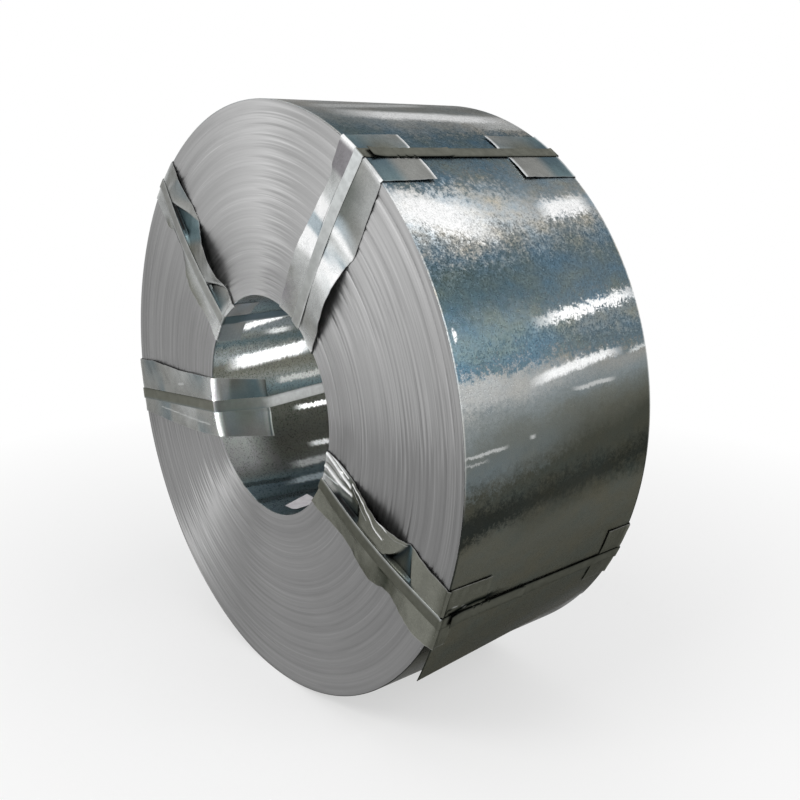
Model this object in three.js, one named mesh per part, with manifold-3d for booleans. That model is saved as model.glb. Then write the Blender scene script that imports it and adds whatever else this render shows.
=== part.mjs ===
// A coil of galvanised steel strip, standing on its rim with its eye level and four straps through the eye.
// Millimetres, +Z up. The eye runs along Y and the origin lies on the floor under the middle of the coil.
// Angles are measured round the eye from +X towards +Z, as seen from the front (the -Y end).
import * as THREE from "three";
import { mergeVertices } from "three/addons/utils/BufferGeometryUtils.js";
import Module from "manifold-3d";

// The wound strip.
const OUTER_DIAMETER = 1342;
const BORE_DIAMETER = 508;
const STRIP_WIDTH = 522;
const STRIP_GAUGE = 1.2;
const COIL_FACETS = 90;

// The ends of the coil: bands of wraps that stand a little back from their neighbours,
// and a few outer wraps that have sprung clear of the rest.
const END_BANDS = 7;
const BAND_SETBACK = 1.2;
const BAND_EDGE = 1.5;
const SPRUNG_WRAPS = 5;
const SPRUNG_GAP = 2;
const SPRUNG_DEPTH = 9;

// The loose end of the outermost wrap. It leaves the coil under the guards of one strap, a little above
// the strap's middle, and curls away furthest at its front corner and hardly at all at its back corner.
const TAIL_STRAP = "lower_right";
const TAIL_LEAD = 68;
const TAIL_LENGTH = 228;
const TAIL_LIFT = 32.5;
const TAIL_BACK_LIFT = 1.8;
const TAIL_CURL = 1.53;
const TAIL_ROOT = 14;
const TAIL_STEPS = 8;

// The straps and the guards under them. angle is where a strap crosses the rim, lean how far it has slid
// sideways at the eye on the front and back ends, bow how far its guards push it out in the middle of an end
// and tabSlip how far it and the eye tab run on sideways inside the eye. offset is where the guard's own
// middle lies beside the strap, at the rim and at the eye. rimTabs are the guard's two tab lengths on the
// front end and on the back end.
//
// over and under list the creases of a guard's free half, on the side of larger and of smaller angles:
// [step at the strap, step at the free edge, height at the strap, height at the free edge, edge moved out],
// with GUARD_FACE_STEPS steps from rim to eye.
const STRAPS = [
  {
    name: "upper_left", angle: 133.75, lean: [13.6, 4], bow: 11, tabSlip: 0, offset: [-10, 3.6],
    rimTabs: { front: { over: 140, under: 140 }, back: { over: 140, under: 140 } },
    over: [
      [0, 0, 0, 0, -11], [3, 3, 4, 3, -14], [5, 5, 8, 6, -21], [6, 6, 9, 1, -28],
      [8, 8, 10, 1, -27], [10, 10, 11, 7, -21], [12, 12, 10, 15, -16], [14, 14, 8, 18, -14],
      [17, 17, 5, 10, -17], [20, 20, 0, 0, -24],
    ],
    under: [
      [0, 0, 0, 0, 0], [2, 2.6, 5, 6, 0], [3, 8.4, 9, 1, 2], [4, 9.2, 1, 2, 0],
      [8, 10, 2, 9, 0], [10, 11.6, 9, 19, 0], [13, 13.8, 12, 24, 0], [15, 17.2, 12, 10, 0],
      [16, 18, 1, 3, -2], [20, 20, 0, 3, -8],
    ],
  },
  {
    name: "upper_right", angle: 56.35, lean: [0, 0], bow: 10, tabSlip: 0, offset: [-8.5, -6],
    rimTabs: { front: { over: 131, under: 131 }, back: { over: 156, under: 150 } },
    over: [
      [0, 0, 0, 0, 0], [3, 3, 4, 0, -2], [4, 4, 5, 0, -9], [6, 6, 6, 0, -5], [8, 8, 8, 1, 0],
      [10, 10, 10, 8, 0], [13, 13, 11, 14, 0], [15, 15, 9, 12, 0], [18, 18, 4, 7, 0], [20, 20, 0, 2, 0],
    ],
    under: [
      [0, 0, 0, 0, 0], [4, 4, 3, 0, 5], [7, 7.4, 4, 0, 11], [8, 8.2, 11, 0, 8], [9, 9.2, 14, 2, 1],
      [10, 10, 16, 7, 0], [12, 12, 17, 16, 0], [14, 14, 15, 18, 0], [16, 16, 11, 13, 0], [20, 20, 0, 2, 0],
    ],
  },
  {
    name: "lower_right", angle: -25.8, lean: [-13, -4], bow: 12, tabSlip: 0, offset: [7.5, -3],
    rimTabs: { front: { over: 110, under: 33 }, back: { over: 68, under: 78 } },
    over: [
      [0, 0, 0, 0, 0], [2, 2, 3, 3, 0], [4, 5.8, 9, 1, 5], [5, 6.2, 2, 1, 5], [9, 6.8, 2, 2, 3],
      [10, 7.6, 13, 10, 0], [12, 10, 13, 23, 0], [13, 12.6, 12, 13, 0], [14, 14.2, 2, 6, 0],
      [17, 15.8, 1, 1, 1], [18, 17.2, 5, 2, 5], [20, 20, 0, 1, 0],
    ],
    under: [
      [0, 0, 0, 0, 0], [1, 1, 2, 9, 0], [2, 2, 4, 13, 0], [4, 4, 7, 8, 0], [6, 6, 7, 0, -4],
      [7, 7, 8, 0, -5], [8, 8, 10, 7, 0], [9, 9, 12, 14, 0], [11, 11, 12, 9, 0], [13, 13, 9, 0, -1],
      [15, 15, 7, 0, -6], [17, 17, 4, 0, -3], [19, 19, 2, 3, 0], [20, 20, 0, 1, 0],
    ],
  },
  {
    name: "left", angle: -171.5, lean: [16, 4], bow: 0, tabSlip: 13, offset: [-25, 16],
    rimTabs: { front: { over: 140, under: 140 }, back: { over: 140, under: 140 } },
    over: [
      [0, 0, 0, 0, 4], [2, 2, 0, 1, 5], [8, 8, 0, 3, 8], [14, 14, 1, 4, 9], [19, 19, 0, 0, 4],
      [20, 20, 0, 0, 3],
    ],
    under: [
      [0, 0, 0, 0, 0], [4, 4, 1, 4, 5], [6, 6, 0, 7, 4], [8, 8, 0, 5, 1], [12, 12, 0, 4, -2],
      [20, 20, 0, 0, 0],
    ],
  },
];
const STRAP_WIDTH = 29;
const STRAP_GAUGE = 1;
const STRAP_LAP = 200; // how far the two ends of a strap lie over each other
const STRAP_LAP_START = 22; // from the front rim to the upper end of the lap

// The edge guards: sheet folded over the rim and into the eye under each strap.
const GUARD_WIDTH = 145;
const GUARD_GAUGE = 1;
const GUARD_EYE_TAB = 165;
const GUARD_FACE_STEPS = 20;

// The paper label on the floor of the eye, a little way in from the front end.
const LABEL_ANGLE = -88;
const LABEL_INSET = 45;
const LABEL_LENGTH = 82;
const LABEL_WIDTH = 52;
const LABEL_SKEW = -30;
const LABEL_GAUGE = 0.5;

const CLEARANCE = 0.3;

const FRONT = -1;
const BACK = 1;
const STEEL = {
  strip: { color: 0xa9adb0, roughness: 0.35, metalness: 1 },
  strap: { color: 0x8f9293, roughness: 0.45, metalness: 1 },
  guard: { color: 0xb4b8ba, roughness: 0.25, metalness: 1 },
};
const PAPER = { color: 0xe1dee1, roughness: 0.8, metalness: 0 };

const rimRadius = OUTER_DIAMETER / 2;
const boreRadius = BORE_DIAMETER / 2;
const halfWidth = STRIP_WIDTH / 2;
const halfFacet = Math.PI / COIL_FACETS;
const heldHalf = STRAP_WIDTH / 2 + 2;
const facetSlack = rimRadius * (1 - Math.cos(GUARD_WIDTH / 8 / rimRadius));
const radians = (degrees) => (degrees * Math.PI) / 180;
const { lerp } = THREE.MathUtils;

const wasm = await Module();
wasm.setup();

// A closed geometry as a manifold-3d solid, ready to be joined or cut.
function solidOf(geometry) {
  const plain = geometry.clone();
  plain.deleteAttribute("normal");
  plain.deleteAttribute("uv");
  const merged = mergeVertices(plain, 1e-3);
  return new wasm.Manifold(
    new wasm.Mesh({
      numProp: 3,
      vertProperties: merged.attributes.position.array,
      triVerts: new Uint32Array(merged.index.array),
    }),
  );
}

function geometryOf(solid) {
  const mesh = solid.getMesh();
  const geometry = new THREE.BufferGeometry();
  geometry.setAttribute("position", new THREE.BufferAttribute(mesh.vertProperties, 3));
  geometry.setIndex(new THREE.BufferAttribute(mesh.triVerts, 1));
  return geometry;
}

function indexedGeometry(points, triangles) {
  const geometry = new THREE.BufferGeometry();
  geometry.setAttribute(
    "position",
    new THREE.Float32BufferAttribute(points.flatMap((point) => point.toArray()), 3),
  );
  geometry.setIndex(triangles);
  return geometry;
}

// A point at a radius and angle round the eye, and at a distance along it.
function roundEye(radius, angle, along) {
  return new THREE.Vector3(radius * Math.cos(angle), along, radius * Math.sin(angle));
}

// A closed sheet between two grids of points: the faces of both grids and a wall round their edges.
function sheetGeometry(inner, outer) {
  const rows = inner.length;
  const columns = inner[0].length;
  const at = (side, row, column) => (side * rows + row) * columns + column;
  const triangles = [];
  const quad = (a, b, c, d) => triangles.push(a, b, c, a, c, d);
  for (let row = 0; row < rows - 1; row += 1) {
    for (let column = 0; column < columns - 1; column += 1) {
      quad(at(0, row, column), at(0, row + 1, column), at(0, row + 1, column + 1), at(0, row, column + 1));
      quad(at(1, row, column), at(1, row, column + 1), at(1, row + 1, column + 1), at(1, row + 1, column));
    }
  }
  for (let row = 0; row < rows - 1; row += 1) {
    const last = columns - 1;
    quad(at(0, row, 0), at(1, row, 0), at(1, row + 1, 0), at(0, row + 1, 0));
    quad(at(0, row + 1, last), at(1, row + 1, last), at(1, row, last), at(0, row, last));
  }
  for (let column = 0; column < columns - 1; column += 1) {
    const last = rows - 1;
    quad(at(0, 0, column + 1), at(1, 0, column + 1), at(1, 0, column), at(0, 0, column));
    quad(at(0, last, column), at(1, last, column), at(1, last, column + 1), at(0, last, column + 1));
  }
  return indexedGeometry([...inner.flat(), ...outer.flat()], triangles);
}

// A closed loop swept through sections that all have the same number of corners.
function loopGeometry(sections) {
  const corners = sections[0].length;
  const at = (row, corner) => (row % sections.length) * corners + (corner % corners);
  const triangles = [];
  sections.forEach((_, row) => {
    for (let corner = 0; corner < corners; corner += 1) {
      const [a, b] = [at(row, corner), at(row, corner + 1)];
      const [c, d] = [at(row + 1, corner + 1), at(row + 1, corner)];
      triangles.push(a, d, c, a, c, b);
    }
  });
  return indexedGeometry(sections.flat(), triangles);
}

// The outline of one end of the coil, from the rim inwards: [radius, distance from mid-width].
function endOutline() {
  const sprungInner = rimRadius - SPRUNG_WRAPS * STRIP_GAUGE;
  const bodyRim = sprungInner - SPRUNG_GAP;
  const outline = [
    [rimRadius, halfWidth],
    [sprungInner, halfWidth],
    [sprungInner, halfWidth - SPRUNG_DEPTH],
    [bodyRim, halfWidth - SPRUNG_DEPTH],
  ];
  const bandWidth = (bodyRim - boreRadius) / END_BANDS;
  for (let band = 0; band < END_BANDS; band += 1) {
    const reach = halfWidth - (band % 2 ? BAND_SETBACK : 0);
    const outer = bodyRim - band * bandWidth - (band ? BAND_EDGE / 2 : 0);
    const inner = bodyRim - (band + 1) * bandWidth + (band < END_BANDS - 1 ? BAND_EDGE / 2 : 0);
    outline.push([outer, reach], [inner, reach]);
  }
  return outline;
}

// The whole wound body as one turned solid, with the middle of a facet at the foot.
function woundBody() {
  const back = endOutline();
  const front = back.map(([radius, reach]) => [radius, -reach]).reverse();
  const profile = [...front, ...back];
  profile.push(profile[0]);
  const points = profile.map(([radius, reach]) => new THREE.Vector2(radius, reach));
  return new THREE.LatheGeometry(points, COIL_FACETS, halfFacet);
}

const tailLeaves =
  radians(STRAPS.find(({ name }) => name === TAIL_STRAP).angle) + TAIL_LEAD / rimRadius;

// How far the loose end stands off the rim at an angle and at a distance along the eye, as a power of
// the run from where it leaves.
function tailLift(angle, along) {
  const run = (tailLeaves - angle) * rimRadius;
  if (run <= 0 || run > TAIL_LENGTH + 1) return 0;
  const corner = lerp(TAIL_LIFT, TAIL_BACK_LIFT, (along / halfWidth + 1) / 2);
  return corner * (run / TAIL_LENGTH) ** TAIL_CURL;
}

// Places along the eye, from the front end to the back end.
function stepsAcross(count) {
  return Array.from({ length: count + 1 }, (_, step) => lerp(-halfWidth, halfWidth, step / count));
}

// The loose end as a curled plate, rooted in the wraps below it.
function tailPlate() {
  const runs = [];
  for (let step = TAIL_STEPS; step >= 0; step -= 1) runs.push((TAIL_LENGTH * step) / TAIL_STEPS);
  runs.push(-TAIL_ROOT);
  const layer = (depth) =>
    runs.map((run) =>
      stepsAcross(4).map((along) => {
        const angle = tailLeaves - run / rimRadius;
        const sunk = run < 0 ? STRIP_GAUGE / 2 : 0;
        return roundEye(rimRadius + tailLift(angle, along) - sunk - depth, angle, along);
      }),
    );
  return sheetGeometry(layer(STRIP_GAUGE), layer(0));
}

// Height of a strap's seat off the end face, at a share of the way from the rim to the eye.
function bowAt(strap, share) {
  return strap.bow * Math.sin(Math.PI * share);
}

// One value of a list of creases at a step along the strap, read between the two nearest creases.
function creaseValue(creases, step, column) {
  const next = creases.findIndex((crease) => crease[0] >= step);
  if (next <= 0) return creases[0][column];
  const [before, after] = [creases[next - 1], creases[next]];
  return lerp(before[column], after[column], (step - before[0]) / (after[0] - before[0]));
}

// Across its width a guard is drawn at its free edges, halfway in, beside the strap, and under the strap:
// [side, share of the free half].
const GUARD_COLUMNS = [[-1, 1], [-1, 0.55], [-1, 0.1], [-1, 0], [0, 0], [1, 0], [1, 0.1], [1, 0.55], [1, 1]];

// Where a guard's column crosses a step of the end face: the share of the way from rim to eye, the
// distance from the strap's line on the rim, and the height off the end face.
function guardPlace(strap, end, [side, free], step) {
  const creases = side > 0 ? strap.over : strap.under;
  const share = lerp(step, creaseValue(creases, step, 1), free) / GUARD_FACE_STEPS;
  const line = strap.lean[end === FRONT ? 0 : 1] * share;
  const middle = lerp(...strap.offset, share);
  const edge = GUARD_WIDTH / 2 + side * (middle - line) + creaseValue(creases, step, 4);
  const height = lerp(creaseValue(creases, step, 2), creaseValue(creases, step, 3), free);
  return {
    share,
    sideways: line + side * lerp(heldHalf, edge, free),
    rise: free ? height : bowAt(strap, share),
  };
}

// One line along a guard, from the end of its rim tab, over the rim, down the end face and into the eye.
// depth is 0 on the side that lies on the coil and GUARD_GAUGE on the side that faces out.
function guardLine(strap, end, column, depth) {
  const middle = radians(strap.angle);
  const { over, under } = strap.rimTabs[end === FRONT ? "front" : "back"];
  const rimTab = { "-1": under, 0: (over + under) / 2, 1: over }[column[0]];
  const atRim = ({ sideways }, along) => {
    const angle = middle + sideways / rimRadius;
    const seat = rimRadius + tailLift(angle, along) + facetSlack + CLEARANCE;
    return roundEye(seat + depth, angle, along);
  };
  const atEye = ({ sideways }, along) =>
    roundEye(
      boreRadius * Math.cos(halfFacet) - CLEARANCE - depth,
      middle + Math.asin(sideways / boreRadius),
      along,
    );
  const line = [atRim(guardPlace(strap, end, column, 0), end * (halfWidth - rimTab))];
  for (let step = 0; step <= GUARD_FACE_STEPS; step += 1) {
    const place = guardPlace(strap, end, column, step);
    const along = end * (halfWidth + CLEARANCE + depth + place.rise);
    line.push(atRim(place, end * halfWidth).lerp(atEye(place, along), place.share).setY(along));
  }
  const mouth = guardPlace(strap, end, column, GUARD_FACE_STEPS);
  const slipped = { sideways: mouth.sideways + (end === FRONT ? strap.tabSlip : 0) };
  line.push(atEye(slipped, end * (halfWidth - GUARD_EYE_TAB)));
  return line;
}

function guardGeometry(strap, end) {
  const columns = end === BACK ? GUARD_COLUMNS : [...GUARD_COLUMNS].reverse();
  const inner = columns.map((column) => guardLine(strap, end, column, 0));
  const outer = columns.map((column) => guardLine(strap, end, column, GUARD_GAUGE));
  return sheetGeometry(inner, outer);
}

// A strap's loop over its two guards, drawn as if it crossed the rim at angle 0: down the front end,
// through the eye and up the back end, with its two ends lapped over each other on the rim.
function strapGeometry(strap) {
  const seat = rimRadius + facetSlack + GUARD_GAUGE + 2 * CLEARANCE;
  const eyeSide = boreRadius * Math.cos(halfFacet) - GUARD_GAUGE - 2 * CLEARANCE;
  const facetBow = eyeSide * (1 - Math.cos(heldHalf / 2 / boreRadius));
  const eye = Math.sqrt((eyeSide - facetBow) ** 2 - (STRAP_WIDTH / 2) ** 2);
  const face = halfWidth + GUARD_GAUGE + 2 * CLEARANCE;
  const half = STRAP_WIDTH / 2;

  const onRim = (radius, along) =>
    [-half, half].map((offset) => {
      const lift = tailLift(radians(strap.angle) + offset / rimRadius, along);
      return new THREE.Vector3(radius + lift, along, offset);
    });
  const inEye = (radius, sideways, along) => {
    const turn = Math.asin(sideways / boreRadius);
    const tangent = new THREE.Vector3(-Math.sin(turn), 0, Math.cos(turn));
    return [-half, half].map((offset) => roundEye(radius, turn, along).addScaledVector(tangent, offset));
  };
  const section = (under, outer) => [...under, ...outer.reverse()];
  const overRim = (along) => section(onRim(seat, along), onRim(seat + STRAP_GAUGE, along));
  const onFace = (end, share) => {
    const lean = strap.lean[end === FRONT ? 0 : 1];
    const pair = (lifted) => {
      const along = end * (face + bowAt(strap, share) + lifted);
      const atRim = onRim(seat + (share ? 0 : lifted), end * halfWidth);
      const atEye = inEye(eye - (share < 1 ? 0 : lifted), lean, along);
      return atRim.map((point, side) => point.lerp(atEye[side], share).setY(along));
    };
    return section(pair(0), pair(STRAP_GAUGE));
  };

  const shares = Array.from({ length: GUARD_FACE_STEPS + 1 }, (_, step) => step / GUARD_FACE_STEPS);
  const slipped = [strap.lean[0] + strap.tabSlip, GUARD_EYE_TAB - halfWidth];
  const loop = loopGeometry([
    ...shares.map((share) => onFace(FRONT, share)),
    section(inEye(eye, ...slipped), inEye(eye - STRAP_GAUGE, ...slipped)),
    ...shares.map((share) => onFace(BACK, 1 - share)),
    ...stepsAcross(6).slice(1, -1).reverse().map(overRim),
  ]);
  const lapEnds = [STRAP_LAP_START - halfWidth, STRAP_LAP_START + STRAP_LAP - halfWidth];
  const lapLayer = (height) => {
    const [near, far] = lapEnds.map((along) => onRim(seat + height, along));
    return [0, 1].map((side) => [near[side], far[side]]);
  };
  const lap = sheetGeometry(lapLayer(STRAP_GAUGE / 2), lapLayer(2 * STRAP_GAUGE));
  return geometryOf(solidOf(loop).add(solidOf(lap)));
}

// A paper slip that lies on the floor of the eye, a little askew.
function labelGeometry() {
  const layer = (depth) =>
    [-0.5, 0, 0.5].map((width) =>
      [0.5, -0.5].map((length) => {
        const round = LABEL_WIDTH * width + LABEL_SKEW * length;
        const radius = boreRadius * Math.cos(halfFacet) - CLEARANCE - depth;
        const along = LABEL_INSET + LABEL_LENGTH * (length + 0.5) - halfWidth;
        return roundEye(radius, radians(LABEL_ANGLE) + round / boreRadius, along);
      }),
    );
  return sheetGeometry(layer(0), layer(LABEL_GAUGE));
}

function namedMesh(name, geometry, finish) {
  const mesh = new THREE.Mesh(geometry, new THREE.MeshStandardMaterial(finish));
  mesh.name = name;
  return mesh;
}

// Everything round the eye is drawn about the coil's middle, then lifted so that its foot is on the floor.
const aroundEye = new THREE.Group();
aroundEye.position.z = rimRadius * Math.cos(halfFacet);

const coil = solidOf(woundBody()).add(solidOf(tailPlate()));
aroundEye.add(namedMesh("coil", geometryOf(coil), STEEL.strip));
aroundEye.add(namedMesh("bore_label", labelGeometry(), PAPER));

for (const strap of STRAPS) {
  const band = namedMesh(`strap_${strap.name}`, strapGeometry(strap), STEEL.strap);
  band.rotation.y = -radians(strap.angle);
  aroundEye.add(band);
  for (const [side, end] of [["front", FRONT], ["back", BACK]]) {
    aroundEye.add(namedMesh(`edge_guard_${side}_${strap.name}`, guardGeometry(strap, end), STEEL.guard));
  }
}

const part = new THREE.Group();
part.add(aroundEye);

export default part;
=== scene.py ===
"""A coil of galvanised steel strip standing on its rim, strapped through the eye over folded edge guards."""
import math
from collections import namedtuple
import bpy
import numpy as np
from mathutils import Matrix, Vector


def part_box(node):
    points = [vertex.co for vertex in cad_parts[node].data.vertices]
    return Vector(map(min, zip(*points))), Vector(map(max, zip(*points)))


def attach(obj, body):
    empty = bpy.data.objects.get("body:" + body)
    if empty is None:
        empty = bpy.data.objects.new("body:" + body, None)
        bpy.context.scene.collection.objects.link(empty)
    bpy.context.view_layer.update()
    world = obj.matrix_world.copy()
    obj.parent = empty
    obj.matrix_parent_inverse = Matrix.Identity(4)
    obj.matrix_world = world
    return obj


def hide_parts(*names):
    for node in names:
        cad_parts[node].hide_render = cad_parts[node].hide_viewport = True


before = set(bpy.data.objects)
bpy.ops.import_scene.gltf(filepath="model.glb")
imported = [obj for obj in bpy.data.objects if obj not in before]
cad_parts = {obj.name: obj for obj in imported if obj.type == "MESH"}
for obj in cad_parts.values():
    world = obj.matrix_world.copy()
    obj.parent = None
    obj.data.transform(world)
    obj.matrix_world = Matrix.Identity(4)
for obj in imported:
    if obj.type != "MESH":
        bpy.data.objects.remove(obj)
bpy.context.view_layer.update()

# ---------------------------------------------------------------- sizes, in metres, and angles, in degrees
coil_low, coil_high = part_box("coil")
MID_HEIGHT = (coil_low[2] + coil_high[2]) / 2
RIM = (coil_high[2] - coil_low[2]) / 2
HALF_WIDTH = (coil_high[1] - coil_low[1]) / 2
EYE = 0.254
END_REACH = RIM - EYE
GAUGE = 0.0012
CLEAR = 0.0003

COIL_SEGMENTS = 320
TURNS_SHOWN = 68
TURN_WIDTHS = (0.6, 1.4)  # the narrowest and widest band of turns, next to the usual one
TURN_LIP = 0.12  # the share of a band that each rounded edge takes
TURN_STRAY = 0.00035
DEEPEST_TURN = 0.0016
UNDER_WRAP_GAP = 0.0004
WRAP_INSET = 0.0004  # how far the outermost wrap's edges lie inside the ends

STRAP_HALF = 0.0145
STRAP_GAUGE = 0.001
LAP_START = 0.022
LAP_LENGTH = 0.2
LAP_TIPS = ((0.004, 0.040), (0.002, 0.025))  # how high and over what length each end of the lap lifts
CRIMPS = (0.30, 0.40, 0.50)  # shares of the lap
CRIMP_REACH = 0.0024
CRIMP_PINCH = 0.32
STRAP_BULGE = (0.0016, 0.005)  # height and reach of the bulge where a strap turns a corner
CORNER_TURN = 0.003  # over what length a strap's face turns from one leg to the next

GUARD_HALF = 0.0725
GUARD_GAUGE = 0.001
GUARD_BULGE = (0.0018, 0.004)  # the same where a guard is folded
GUARD_RIPPLE = 0.0005
HELD = STRAP_HALF + 0.002  # half the width that a strap holds flat
FREE = GUARD_HALF - HELD
OFF_RIM = 0.0009  # how far a guard's tabs stand off the rim and off the eye
OFF_EYE = 0.0006

# The loose end leaves the coil under the guards of one strap, a little above the strap's middle.
TAIL_STRAP = "lower_right"
TAIL_LEAD = 0.068
TAIL_LENGTH = 0.228
TAIL_LIFT = 0.0325
TAIL_BACK_LIFT = 0.0018
TAIL_CURL = 1.53

# The paper slip on the floor of the eye.
LABEL_ANGLE = -88.0
LABEL_INSET = 0.045
LABEL_LENGTH = 0.082
LABEL_WIDTH = 0.052
LABEL_SKEW = -0.030
LABEL_GAUGE = 0.0003
LABEL_OFF = 0.0004  # how far it stands off the eye, and the height of its waves
LABEL_WAVE = 0.0004
LABEL_CURL = 0.002 / 0.42  # the lifted corner's height over the square of the way past its fold line
LABEL_FOLD = 0.35

FRONT, BACK = -1, 1  # the two ends of the coil
OVER, UNDER = 1, -1  # a guard's two free halves, on the side of larger and of smaller angles
SHUFFLE = np.random.default_rng(7)

# Painted reflections: shades of bright zinc, from what a facet leans towards: sky, open hall, floor or a
# neighbouring sheet.
SHADES = {
    "white": (252, 253, 253), "mist": (214, 218, 218), "silver": (196, 198, 197), "frost": (176, 188, 194),
    "pale": (172, 174, 173), "grey": (148, 149, 146), "ash": (136, 134, 137), "fog": (128, 136, 138),
    "olive": (116, 117, 109), "teal": (112, 130, 134), "lead": (108, 112, 108), "dusk": (102, 110, 111),
    "slate": (94, 110, 118), "moss": (92, 93, 85), "harbour": (80, 106, 120), "pool": (76, 92, 96),
    "floor": (70, 72, 65), "coal": (46, 49, 46), "deep": (40, 47, 49), "night": (22, 25, 26),
}
EDGE_PAINTED_GLINT = 170  # grey levels of the painted highlight on a guard's cut edge and of the painted shade in the gap below a sheet that stands up
GAP_PAINTED_SHADE = 24
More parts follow.
